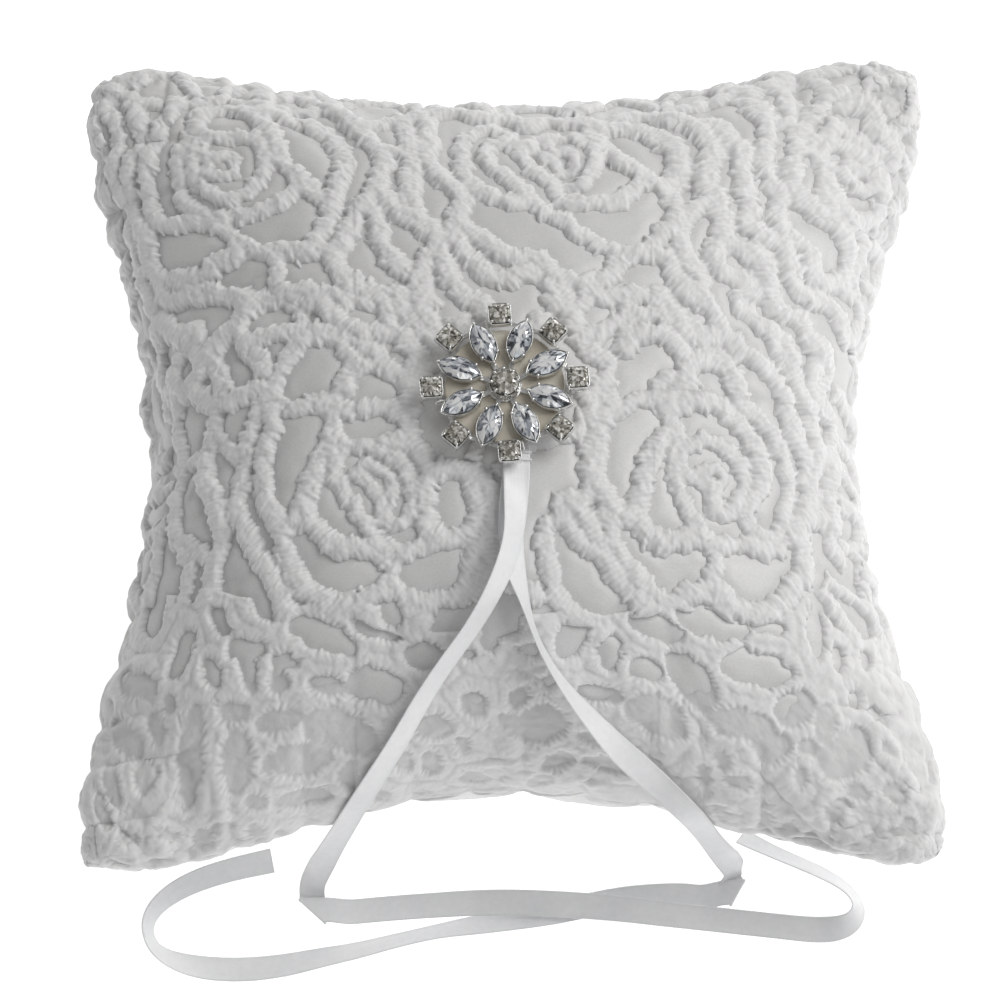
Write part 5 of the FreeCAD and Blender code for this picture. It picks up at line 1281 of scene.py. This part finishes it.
def open_band(H, C):
    """The closer band along the lower edge: cords worked round oval openings, side by side between them."""
    below = band_top(lu)[:, None] + smooth_noise((NU, NV), 16, 71) * 1.2 - lv[None, :]
    d1, d2 = np.full((NU, NV), 99.0), np.full((NU, NV), 99.0)
    rib = np.zeros((NU, NV))
    wobble = smooth_noise((NU, NV), 8, 72, 3) * 0.7 + fray
    r = np.random.default_rng(21)
    for cu, cv, au, av, bu, bv in OPENINGS:
        M = np.linalg.inv(np.array([[au, bu], [av, bv]]) * 1.13)
        size = max(math.hypot(au, av), math.hypot(bu, bv))
        i0, i1 = np.searchsorted(lu, [cu - size - 9, cu + size + 9])
        j0, j1 = np.searchsorted(lv, [cv - size - 9, cv + size + 9])
        X, Y = np.meshgrid(lu[i0:i1] - cu, lv[j0:j1] - cv, indexing="ij")
        qx, qy = M[0, 0] * X + M[0, 1] * Y, M[1, 0] * X + M[1, 1] * Y
        rad = np.hypot(qx, qy) + 1e-6
        grad = np.hypot(M[0, 0] * qx + M[1, 0] * qy, M[0, 1] * qx + M[1, 1] * qy) / rad
        round_ = (math.hypot(au, av) + math.hypot(bu, bv)) / 2 + 1.8
        run = np.arctan2(qy, qx) * round_ + 4 * round_
        n = int(8 * round_ / RIB) + 8
        wander = np.cumsum(r.uniform(0.62, 1.40, n)) * RIB
        lobe = np.abs(np.cos(np.pi * np.interp(run, wander, np.arange(n)))) ** 0.62
        d = (rad - 1) / np.maximum(grad, 1e-6) + wobble[i0:i1, j0:j1] + 0.85 * (lobe - 0.6)
        o1, o2 = d1[i0:i1, j0:j1], d2[i0:i1, j0:j1]
        closer = d < o1
        d2[i0:i1, j0:j1] = np.where(closer, o1, np.minimum(o2, d))
        d1[i0:i1, j0:j1] = np.where(closer, d, o1)
        rib[i0:i1, j0:j1] = np.where(closer, lobe, rib[i0:i1, j0:j1])
    rise = (1 - (1 - np.clip(d1 / 1.5, 0, 1)) ** 2.4) ** 0.85
    half = (d1 + d2) / 2
    meet = np.exp(-((d2 - d1) / 2 / 0.5) ** 2) * np.clip((half - 2.1) / 0.8, 0, 1)
    ring = np.exp(-((d1 - 4.2) / 0.5) ** 2) * np.clip((half - 4.8) / 1.0, 0, 1)
    h = LIFT * 3.5 * rise * (0.88 + 0.12 * rib) * (1 - 0.26 * meet) * (1 - 0.22 * ring)
    veil = 0.40 + 0.12 * smooth_noise((NU, NV), 5, 73, 2) + 0.20 * smooth_noise((NU, NV), 34, 74)
    veil = np.clip(veil, -0.05, 0.62) - 1.2 * np.clip(1 - (below - 9) / 14, 0, 1)
    veil = veil + 0.15 * (rib - 0.6) * np.clip(-d1 / 0.8, 0, 1)       # loops run in from the cords round each opening
    h = np.where(d1 > 0, h, np.maximum(d1 * 1.3, -3))
    h = np.maximum(h, veil)
    mixed = np.where(below < 3.0, np.maximum(h, H), h)
    # the second array is painted shade: the cords darker at their feet and where two meet, lighter on their rib crests
    return (np.where(below > 0, mixed, H),
            np.where(below > 0, (0.45 + 0.55 * rib) * rise * (1 - 0.6 * meet), C))


def light_blur(A, w):
    B = A.copy()
    B[1:-1] = w * A[:-2] + (1 - 2 * w) * A[1:-1] + w * A[2:]
    A = B.copy()
    A[:, 1:-1] = w * B[:, :-2] + (1 - 2 * w) * B[:, 1:-1] + w * B[:, 2:]
    return A


# the cloth is worked closer towards its lower edge and its sides
wide_map = (1.14 + 0.15 * np.clip((-lv[None, :] - 35) / 45, 0, 1) + 0.08 * np.clip((np.abs(lu[:, None]) - 65) / 30, 0, 1)
            + 0.07 * np.clip((lv[None, :] - 60) / 40, 0, 1))
fray = smooth_noise((NU, NV), 2.6, 81) * 0.15 + smooth_noise((NU, NV), 6.0, 82) * 0.20     # loose fibre ends along the cords, in mm
height, painted_relief_shade, drawn = draw_lace()
drawn = np.where(lv[None, :] < band_top(lu)[:, None] - 2.5, 0.0, drawn)
height, painted_relief_shade = fill_in(height, painted_relief_shade, drawn)
height, painted_relief_shade = open_band(height, painted_relief_shade)
height = light_blur(light_blur(np.maximum(height, -0.6), 0.16), 0.10)
fuzz = (smooth_noise((NU, NV), 2.2, 51) * 0.08 + smooth_noise((NU, NV), 4.2, 52) * 0.13
        + smooth_noise((NU, NV), 9.0, 54) * 0.16 + smooth_noise((NU, NV), 40, 53) * 0.12)
in_band = np.clip((band_top(lu)[:, None] - lv[None, :]) / 6.0, 0, 1)
height = height + fuzz * np.clip(height / 0.8, 0, 1) * (1 - 0.45 * in_band)
edge_u = np.minimum(lu - arc_x[0], arc_x[-1] - lu)[:, None]
edge_v = np.minimum(lv - arc_y[0], arc_y[-1] - lv)[None, :]
edge = np.minimum(edge_u, edge_v)
# pulled tight towards the seam and the corners, the cords lie flatter; caught in it, the cloth thins to nothing
corner = np.hypot(np.clip(edge_u, 0, 60), np.clip(edge_v, 0, 60))
tight = 1 - 0.42 * np.clip(1 - edge / 14.0, 0, 1) - 0.16 * np.clip(1 - corner / 45.0, 0, 1)
height = np.where(height > 0, height * tight, height)
closed = np.maximum(np.clip(1 - (edge - 2.5) / 6.5, 0, 1), 1.1 * np.clip(1 - (corner - 10) / 16.0, 0, 1))
height = np.maximum(height, 0.70 * closed + 0.16 * smooth_noise((NU, NV), 4, 55, 2) * (closed > 0.02) - 0.34 * (1 - np.clip(closed * 4, 0, 1)))
height = np.minimum(height, 2.7 * np.sqrt(1 - (1 - np.clip(edge / 1.8, 0, 1)) ** 2) - 0.10)
height = np.maximum(height, -0.32)
base = cover_at(cover_f, lace_s, lace_t)
base_n = normals_of(base)
base_n *= np.sign(base_n[NU // 2, NV // 2, 2])
lace_v = base + base_n * height[..., None]
lace_n = normals_of(lace_v)
lace_n *= np.sign(lace_n[NU // 2, NV // 2, 2])
# painted shade: the lace's colour darkens the lower it lies over the satin, on top of the cords' own painted relief
# shade
lace_painted_shade = np.clip(0.35 + 0.65 * painted_relief_shade, 0, 1) * np.clip(0.4 + height / 2.2, 0.3, 1)
quad_h = np.maximum(np.maximum(height[:-1, :-1], height[1:, :-1]), np.maximum(height[1:, 1:], height[:-1, 1:]))
shown = quad_h > -0.12
print("lace: grid", NU, NV, "faces", int(shown.sum()), "cover share", round(float((height > 0).mean()), 3),
      "height mm", np.percentile(height[height > 0], [5, 50, 95]).round(2))
lace_ids = np.arange(NU * NV).reshape(NU, NV)
lace_q = np.stack([lace_ids[:-1, :-1], lace_ids[1:, :-1], lace_ids[1:, 1:], lace_ids[:-1, 1:]], -1)
cu_, cv_ = (NU - 1) // 3, (NV - 1) // 2
for a in range(3):
    for b in range(2):
        si = slice(a * cu_, (a + 1) * cu_ if a < 2 else NU - 1)
        sj = slice(b * cv_, (b + 1) * cv_ if b < 1 else NV - 1)
        q = lace_q[si, sj][shown[si, sj]]
        used, inv = np.unique(q, return_inverse=True)
        q = inv.reshape(-1, 4)
        ob = add_mesh("lace_%s%d" % ("abc"[a], b + 1), lace_v.reshape(-1, 3)[used], q, LACE,
                      normals=lace_n.reshape(-1, 3)[used], point_attrs=[("painted_relief_shade", lace_painted_shade.reshape(-1)[used])])
        place(ob, "lace", "lace_overlay")

# ------------------------------------------------------------------ satin panels
FN = 281
fs = np.sin(np.linspace(-1, 1, FN) * np.pi / 2 * 0.35) / np.sin(np.pi / 2 * 0.35)
sat = cover_at(cover_f, fs, fs)
sat_n = normals_of(sat)
sat_n *= np.sign(sat_n[FN // 2, FN // 2, 2])
# the satin swells a little in the lace's openings and is drawn down under its cords
hu = np.interp(np.interp(fs, mid_a, arc_x), lu, np.arange(NU))
hv = np.interp(np.interp(fs, mid_a, arc_y), lv, np.arange(NV))
soft = (height > 0.1).astype(float)
for _ in range(10):
    soft = light_blur(soft, 0.33)
swell = 0.45 - 0.85 * soft[np.ix_(np.round(hu).astype(int), np.round(hv).astype(int))]
swell = np.maximum(swell, -0.15)
swell *= np.clip(np.minimum(1 - np.abs(fs)[:, None], 1 - np.abs(fs)[None, :]) * 30, 0, 1)
sat = sat + sat_n * swell[..., None]
satin_front = add_mesh("satin_front", sat.reshape(-1, 3), quads(FN, FN), SATIN)
place(satin_front, "satin", "satin_front_panel")
sb = cover_at(cover_b, fs, fs)
sb[..., 2] = np.maximum(sb[..., 2], 0.05)
satin_back = add_mesh("satin_back", sb.reshape(-1, 3), quads(FN, FN, True), BACK_SATIN)
place(satin_back, "satin", "satin_back_panel")

# fibre filling inside the cover
fl = np.linspace(-1, 1, 90)
cf, cb = cover_at(cover_f, fl, fl), cover_at(cover_b, fl, fl)
ctr = np.array([0, 0, SEAM])
lump_f = 1 - 0.022 - 0.012 * np.abs(smooth_noise((90, 90), 7, 61, 2))
lump_b = 1 - 0.022 - 0.012 * np.abs(smooth_noise((90, 90), 7, 62, 2))
rimm = np.zeros((90, 90), bool)
rimm[0], rimm[-1], rimm[:, 0], rimm[:, -1] = True, True, True, True
lump_b[rimm] = lump_f[rimm]
vf, vb = (cf - ctr) * lump_f[..., None] + ctr, (cb - ctr) * lump_b[..., None] + ctr
vb[..., 2] = np.maximum(vb[..., 2], 0.9)
ids = np.arange(8100).reshape(90, 90)
idb = ids.copy()
idb[~rimm] = 8100 + np.arange((~rimm).sum())
qf = np.stack([ids[:-1, :-1], ids[1:, :-1], ids[1:, 1:], ids[:-1, 1:]], -1).reshape(-1, 4)
qb = np.stack([idb[:-1, :-1], idb[:-1, 1:], idb[1:, 1:], idb[1:, :-1]], -1).reshape(-1, 4)
filling = add_mesh("fibre_filling", np.concatenate([vf.reshape(-1, 3), vb[~rimm]]), np.concatenate([qf, qb]), FILL)
place(filling, "filling", "fibrefill_core")


# ------------------------------------------------------------------ seam and closing thread
def tube(path, rad, sides=8, closed_caps=True, squash=1.0):
    """Points and faces of a round-ended tube along a short path in mm."""
    P = np.asarray(path, float)
    T = np.gradient(P, axis=0)
    T /= np.maximum(np.linalg.norm(T, axis=1, keepdims=True), 1e-9)
    ref = np.array([0.0, 0.0, 1.0]) if abs(T[0][2]) < 0.9 else np.array([1.0, 0.0, 0.0])
    V, F = [], []
    n = len(P)
    ends = [(P[0] - T[0] * rad * 0.8, 0.35)] + [(p, 1.0) for p in P] + [(P[-1] + T[-1] * rad * 0.8, 0.35)]
    TT = [T[0]] + list(T) + [T[-1]]
    u = None
    for (p, k), t in zip(ends, TT):
        u = ref - t * ref.dot(t) if u is None else u - t * u.dot(t)
        u = u / np.linalg.norm(u)
        w = np.cross(t, u)
        for j in range(sides):
            a = 2 * math.pi * j / sides
            V.append(p + (u * math.cos(a) * squash + w * math.sin(a)) * rad * k)
    m = len(ends)
    for i in range(m - 1):
        for j in range(sides):
            F.append((i * sides + j, i * sides + (j + 1) % sides, (i + 1) * sides + (j + 1) % sides, (i + 1) * sides + j))
    F.append(tuple(range(sides))[::-1])
    F.append(tuple((m - 1) * sides + j for j in range(sides)))
    return V, F


def gather(parts):
    V, F = [], []
    for v, f in parts:
        o = len(V)
        V.extend(v)
        F.extend(tuple(i + o for i in g) for g in f)
    return V, F


rim = np.concatenate([cover_f[:-1, 0], cover_f[-1, :-1], cover_f[:0:-1, -1], cover_f[0, :0:-1]])
rim = np.vstack([rim, rim[:1]])
out_dir = rim - np.array([0, 0, SEAM])
rs = np.concatenate([[0], np.cumsum(np.linalg.norm(np.diff(rim, axis=0), axis=1))])


def rim_at(s, off, z):
    s = np.asarray(s) % rs[-1]
    p = np.stack([np.interp(s, rs, rim[:, k]) for k in range(3)], -1)
    q = np.stack([np.interp((s + 0.5) % rs[-1], rs, rim[:, k]) for k in range(3)], -1)
    t = q - p
    t /= np.linalg.norm(t, axis=-1, keepdims=True)
    o = np.stack([t[..., 1], -t[..., 0], 0 * t[..., 0]], -1)
    o *= np.sign(np.sum(o * p, -1, keepdims=True) + 1e-9)
    r_ = p + o * off
    r_[..., 2] = z
    return r_


parts_ = []
pitch = 2.75
count = int(rs[-1] / pitch)
for i in range(count):
    s0 = i * rs[-1] / count
    s = np.linspace(s0, s0 + 1.95, 6)
    dip = np.array([-0.25, 0.02, 0.12, 0.12, 0.02, -0.25])
    parts_.append(tube(np.stack([rim_at(a, d, SEAM - 0.12) for a, d in zip(s, dip)]), 0.19))
seam = add_mesh("seam_thread", *gather(parts_), THREAD)
place(seam, "thread", "perimeter_seam_thread")
# slip stitches that close the gap in the top edge, each a slanted bar over the seam
parts_ = []
for i in range(14):
    x = (i - 6.5) * 5.0
    cand = np.where(rim[:, 1] > 60)[0]
    y = float(np.interp(x, np.sort(rim[cand, 0]), rim[cand[np.argsort(rim[cand, 0])], 1]))
    path = []
    for f in np.linspace(-1, 1, 9):
        path.append((x + 0.9 * f, y + 0.42 - 0.75 * abs(f) ** 2.2, SEAM - 0.1 + 1.35 * f))
    parts_.append(tube(path, 0.24))
closing = add_mesh("closing_thread", *gather(parts_), THREAD)
place(closing, "thread", "closing_stitches")

# ------------------------------------------------------------------ brooch
BX, BY, TURN = -1.0, 1.4, math.radians(3.3)
OFF = math.radians(22.5)


def lens_pts(length, width, n):
    a, b = length / 2.0, width / 2.0
    r = (a * a + b * b) / (2 * b)
    yc = r - b
    t = math.asin(a / r)
    upr = [(r * math.sin(t - 2 * t * i / n), r * math.cos(t - 2 * t * i / n) - yc) for i in range(n)]
    return np.array(upr + [(-x, -y) for x, y in upr])


def circle_pts(r, n):
    return np.array([(r * math.cos(2 * math.pi * i / n), r * math.sin(2 * math.pi * i / n)) for i in range(n)])


def square_pts(half, round_, n):
    """Rounded square outline by angle, to match circle_pts."""
    out = []
    for i in range(n):
        a = 2 * math.pi * i / n
        c, s = math.cos(a), math.sin(a)
        p = 7.0
        k = half / (abs(c) ** p + abs(s) ** p) ** (1 / p)
        out.append((c * k, s * k))
    return np.array(out)


def rings(outlines):
    """Skin of rings: a list of (points, z); the first and last are closed with a face."""
    n = len(outlines[0][0])
    V = []
    for pts, z in outlines:
        V.extend((x, y, z) for x, y in pts)
    F = []
    for k in range(len(outlines) - 1):
        for i in range(n):
            j = (i + 1) % n
            F.append((k * n + i, k * n + j, (k + 1) * n + j, (k + 1) * n + i))
    F.append(tuple(range(n))[::-1])
    F.append(tuple((len(outlines) - 1) * n + i for i in range(n)))
    return [np.array(v) for v in V], F


def ball(c, r, n=10, m=6, stretch=1.0):
    V, F = [], []
    for k in range(m + 1):
        ph = math.pi * k / m
        for i in range(n):
            a = 2 * math.pi * i / n
            V.append(np.array([c[0] + r * math.sin(ph) * math.cos(a), c[1] + r * math.sin(ph) * math.sin(a),
                               c[2] + r * stretch * math.cos(ph)]))
    for k in range(m):
        for i in range(n):
            j = (i + 1) % n
            F.append((k * n + i, (k + 1) * n + i, (k + 1) * n + j, k * n + j))
    return V, F


def turned(part, ang, radius=0.0, z=0.0):
    """A part made round the origin, moved out along +X to a radius, turned, and set on the brooch."""
    V, F = part
    c, s = math.cos(ang), math.sin(ang)
    return [np.array([(v[0] + radius) * c - v[1] * s + BX, (v[0] + radius) * s + v[1] * c + BY, v[2] + z]) for v in V], F


def claw(x, y, tall, rad, lean_to, lean):
    """Round prong with a bead at its tip, leaning over the stone."""
    d = np.array(lean_to, float) - np.array([x, y])
    d /= np.linalg.norm(d)
    path = [(x, y, 0.2), (x, y, tall * 0.6), (x + d[0] * lean * 0.5, y + d[1] * lean * 0.5, tall * 0.86),
            (x + d[0] * lean, y + d[1] * lean, tall - rad * 0.75)]
    return gather([tube(path, rad * 0.82, 8), ball(path[-1], rad * 1.02, 10, 6, 0.9)])


ML, MW, MR = 11.2, 5.9, 10.9
cup_parts, square_parts = [], []
for i in range(8):
    a = TURN + OFF + i * math.pi / 4
    L_ = lambda t: lens_pts(ML - 4 * t, MW - 2 * t, 18)
    cup = rings([(L_(0.25), 0.0), (L_(0.04), 0.14), (L_(0.0), 0.4), (L_(0.0), 1.30), (L_(0.02), 1.52), (L_(0.07), 1.65),
                 (L_(0.12), 1.69), (L_(0.18), 1.66), (L_(0.24), 1.54), (L_(0.27), 1.3), (L_(0.29), 0.55), (L_(0.9), 0.5)])
    beads = [gather([tube([(-ML / 2 + 2.2, s * 2.12, 0.1), (-ML / 2 + 2.2, s * 2.08, 1.6)], 0.36, 8),
                     ball((-ML / 2 + 2.25, s * 1.94, 1.92), 0.44, 12, 8, 0.85)]) for s in (1, -1)]
    tips = [gather([ball((s * (ML / 2 - 0.30), 0, 1.66), 0.36, 10, 6, 0.85), ball((s * (ML / 2 - 0.72), 0, 1.86), 0.24, 10, 6, 0.8)])
            for s in (1, -1)]
    cup_parts.append(turned(gather([cup] + beads + tips), a, MR, 81.0))
    a = TURN + i * math.pi / 4
    n = 48
    C_ = lambda r: circle_pts(r, n)
    Q_ = lambda h: square_pts(h, 0, n)
    sq = rings([(Q_(2.50), 0.0), (Q_(2.67), 0.12), (Q_(2.7), 0.35), (Q_(2.7), 1.55), (Q_(2.67), 1.76), (Q_(2.60), 1.87),
                (Q_(2.52), 1.87), (Q_(2.45), 1.78), (Q_(2.42), 1.6), (Q_(2.40), 0.55), (Q_(1.8), 0.5)])
    cl = [claw(sx * 2.30, sy * 2.30, 2.62, 0.34, (0, 0), 0.50) for sx in (1, -1) for sy in (1, -1)]
    square_parts.append(turned(gather([sq] + cl), a, 16.8, 81.0))
marq = add_mesh("marquise_cups", *gather(cup_parts), SILVER)
place(marq, "silver", "marquise_settings")
sqs = add_mesh("square_cups", *gather(square_parts), SILVER)
place(sqs, "silver", "square_settings")
C_ = lambda r: circle_pts(r, 48)
cen = rings([(C_(3.4), 0.0), (C_(3.66), 0.15), (C_(3.72), 0.5), (C_(3.70), 1.5), (C_(3.62), 1.90), (C_(3.53), 2.02),
             (C_(3.45), 1.98), (C_(3.40), 1.80), (C_(3.38), 0.7), (C_(2.8), 0.6)])
cl = []
for i in range(8):
    a = i * math.pi / 4
    cl.append(claw(3.62 * math.cos(a), 3.62 * math.sin(a), 3.05, 0.42, (0, 0), 0.60))
centre = add_mesh("centre_cup", *turned(gather([cen] + cl), TURN, 0.0, 81.0), SILVER)
place(centre, "silver", "centre_setting")


def gem(outline, table, crown_h, pav_h, girdle_h, keel, r, rows=2):
    """Cut stone round the origin: crown facets in two rows, girdle, pavilion; each face gets a random tone for its
    painted reflection.
    """
    n = len(outline)
    z0 = pav_h
    V, F, tone = [], [], []

    def add(x, y, z):
        V.append(np.array([x, y, z]))
        return len(V) - 1

    def tri(*p):
        F.append(tuple(add(*q) for q in p))
        tone.append(r.uniform(0, 1))

    gl = [(x, y, z0) for x, y in outline]
    gh = [(x, y, z0 + girdle_h) for x, y in outline]
    top = z0 + girdle_h + crown_h
    tb = [(x * table, y * table, top) for x, y in outline]
    mid = []
    for i in range(n):
        x = (outline[i][0] + outline[(i + 1) % n][0]) / 2
        y = (outline[i][1] + outline[(i + 1) % n][1]) / 2
        k = (1 + table) / 2 * 1.015
        mid.append((x * k, y * k, z0 + girdle_h + crown_h * 0.62))
    bot = [(max(-keel, min(keel, x * 0.5)), 0.0, 0.0) for x, y in outline]
    for i in range(n):
        j = (i + 1) % n
        tri(gl[i], gl[j], bot[i])
        if abs(bot[i][0] - bot[j][0]) > 1e-6:
            tri(gl[j], bot[j], bot[i])
        tri(gl[i], gh[j], gl[j])
        tri(gl[i], gh[i], gh[j])
        tri(gh[i], mid[i], gh[j])
        tri(gh[j], mid[i], tb[j])
        tri(mid[i], tb[i], tb[j])
        tri(gh[i], tb[i], mid[i])
    c = (0.0, 0.0, top + 0.02)
    for i in range(n):
        tri(tb[i], tb[(i + 1) % n], c)
    return V, F, tone


def gems(name, mat, outline, table, crown_h, pav_h, girdle_h, keel, places, shard, seed):
    V, F, T, S = [], [], [], []
    for k, (ang, radius, z) in enumerate(places):
        r = np.random.default_rng(seed + k)
        v, f, t = gem(outline, table, crown_h, pav_h, girdle_h, keel, r)
        o = len(V)
        shift = r.uniform(0, 50, 3)
        S.extend(np.array([p[0] / shard[0], p[1] / shard[1], p[2] / shard[2]]) + shift for p in v)
        v2, _ = turned((v, f), ang, radius, z)
        V.extend(v2)
        F.extend(tuple(i + o for i in g) for g in f)
        T.extend(t)
    return add_mesh(name, V, F, mat, False, face_attrs=[("facet_reflection", T)], loop_vec=("shard", S))


m_places = [(TURN + OFF + i * math.pi / 4, MR, 81.0 + 0.5 + 0.08) for i in range(8)]
g1 = gems("marquise_stones", CLEAR, lens_pts(ML - 1.16 - 0.16, MW - 0.58 - 0.08, 7), 0.52, 1.05, 0.9, 0.25, 2.2,
          m_places, (2.3, 0.85, 4.0), 300)
place(g1, "crystal_clear", "marquise_crystals")
q_places = [(TURN + i * math.pi / 4, 16.8, 81.0 + 0.5 + 0.08) for i in range(8)]
g2 = gems("accent_stones", SMOKE, square_pts(2.34, 0, 16), 0.58, 0.80, 1.1, 0.35, 0.0, q_places, (0.60, 0.60, 2.0), 400)
place(g2, "crystal_smoke", "accent_crystals")
g3 = gems("centre_stone", SMOKE, circle_pts(3.32, 16), 0.58, 1.0, 1.4, 0.25, 0.0,
          [(TURN, 0.0, 81.0 + 0.6 + 0.08)], (0.85, 0.85, 2.0), 500)
place(g3, "crystal_smoke", "centre_crystal")

# backing disc, its edge rolled and its face slightly uneven
n = 72
dz = 79.55
prof = [(13.3, 0.0), (13.7, 0.12), (13.8, 0.35), (13.7, 0.58), (13.3, 0.70), (12.0, 0.70), (9.0, 0.70), (6.0, 0.70), (3.0, 0.70)]
disc = rings([(circle_pts(r_, n), z_) for r_, z_ in prof])
V_, F_ = turned(disc, TURN, 0.0, dz)
felt = add_mesh("backing_disc", V_, F_, FELT)
place(felt, "felt", "brooch_backing_pad")

# CAD pieces whose shape is right keep it, with their own finish
for nm in ("brooch_frame",):
    nodes[nm].data.materials.clear()
    nodes[nm].data.materials.append(SILVER)
    bv = nodes[nm].modifiers.new("edges", "BEVEL")
    bv.width, bv.segments, bv.limit_method = 0.00014, 2, "ANGLE"
for nm in ("brooch_stitches", "ribbon_tack_stitches"):
    nodes[nm].data.materials.clear()
    nodes[nm].data.materials.append(THREAD)

# ribbon folded under the brooch
FX, FY, FZ = 1.6, -17.7, 78.3
BACK_Y = 4.0      # the fold's open end lies this far in under the brooch, where the tails run on from it
path = []
for t in np.linspace(0, 1, 26):
    path.append((FX, FY + 24.0 * t * 0.98, FZ + 0.2))
lower = [(FY + BACK_Y, 0.2), (FY + 8, 0.2), (FY + 16, 0.2), (FY + 23.3, 0.2)]
arc = [(FY + 23.3 + 0.5 * math.sin(a), 0.52 - 0.325 * math.cos(a)) for a in np.linspace(0, math.pi, 9)]
upper = [(FY + 16, 0.85), (FY + 8, 0.85), (FY + BACK_Y, 0.85)]
line = np.array([(0.0, y, FZ + z) for y, z in lower[:-1] + arc + upper])
sL = np.concatenate([[0], np.cumsum(np.linalg.norm(np.diff(line, axis=0), axis=1))])
at = np.linspace(0, sL[-1], 150)
line = np.stack([np.interp(at, sL, line[:, k]) for k in range(3)], -1)
line = smooth_rows(line, 3)
T_ = np.gradient(line, axis=0)
T_ /= np.linalg.norm(T_, axis=1, keepdims=True)
Wd = np.tile([1.0, 0, 0], (150, 1))
Nn = np.cross(T_, Wd)
cs = [-1.0, -0.965, -0.90, -0.84, 0.0, 0.84, 0.90, 0.965, 1.0]
th = [0.30, 0.85, 1.0, 0.72, 0.70, 0.72, 1.0, 0.85, 0.30]
sec = [(c, h) for c, h in zip(cs, th)] + [(c, -h) for c, h in zip(cs[::-1], th[::-1])]
V_ = np.stack([line + Wd * (3.0 * c) + Nn * (h * 0.17) + np.array([FX, 0, 0]) for c, h in sec], 1)
idx = np.arange(150 * len(sec)).reshape(150, len(sec))
F_ = np.stack([idx[:-1], np.roll(idx[:-1], -1, 1), np.roll(idx[1:], -1, 1), idx[1:]], -1).reshape(-1, 4)
F_ = [tuple(f) for f in F_] + [tuple(idx[0]), tuple(idx[-1][::-1])]
fold = add_mesh("ribbon_loop", V_.reshape(-1, 3), F_, RIBBON, True,
                point_attrs=[("across", np.tile([c for c, h in sec], (150, 1))), ("along", np.repeat(at, len(sec)))])
place(fold, "ribbon", "ribbon_fold")

# ------------------------------------------------------------------ floor and light
def mat_floor():
    m, nt, b = material("floor")
    co = coords(nt)
    n1 = noise(nt, co, 3, 2)
    col = ramp(nt, n1.outputs[0], [(0.3, (0.93, 0.93, 0.93)), (0.7, (0.95, 0.95, 0.95))])
    nt.links.new(col, b.inputs["Base Color"])
    set_in(b, Roughness=0.9, Specular_IOR_Level=0.1, Emission_Strength=0.62)
    b.inputs["Emission Color"].default_value = (1, 1, 1, 1)
    return m


fv = [(-6000, -6000, -0.05), (6000, -6000, -0.05), (6000, 6000, -0.05), (-6000, 6000, -0.05)]
floor = add_mesh("floor", fv, [(0, 1, 2, 3)], mat_floor(), False)

world = bpy.data.worlds.new("studio")
scene.world = world
world.use_nodes = True
bg = world.node_tree.nodes["Background"]
bg.inputs["Color"].default_value = (1.0, 0.995, 0.985, 1)
bg.inputs["Strength"].default_value = 0.275


def area(name, loc, target, size, power, color=(1, 1, 1), size_y=None):
    ld = bpy.data.lights.new(name, "AREA")
    ld.energy = power
    ld.color = color
    ld.size = size
    if size_y:
        ld.shape = "RECTANGLE"
        ld.size_y = size_y
    ob = link(bpy.data.objects.new(name, ld))
    ob.location = loc
    ob.rotation_mode = "QUATERNION"
    ob.rotation_quaternion = (Vector(target) - Vector(loc)).to_track_quat("-Z", "Y")
    return ob


area("key", (0.86, 0.43, 1.10), (0, 0, 0.04), 0.95, 13.0, (1.0, 0.995, 0.985))
area("fill", (0.25, -1.25, 0.75), (0, 0, 0.04), 1.0, 2.6, (0.99, 0.995, 1.0))
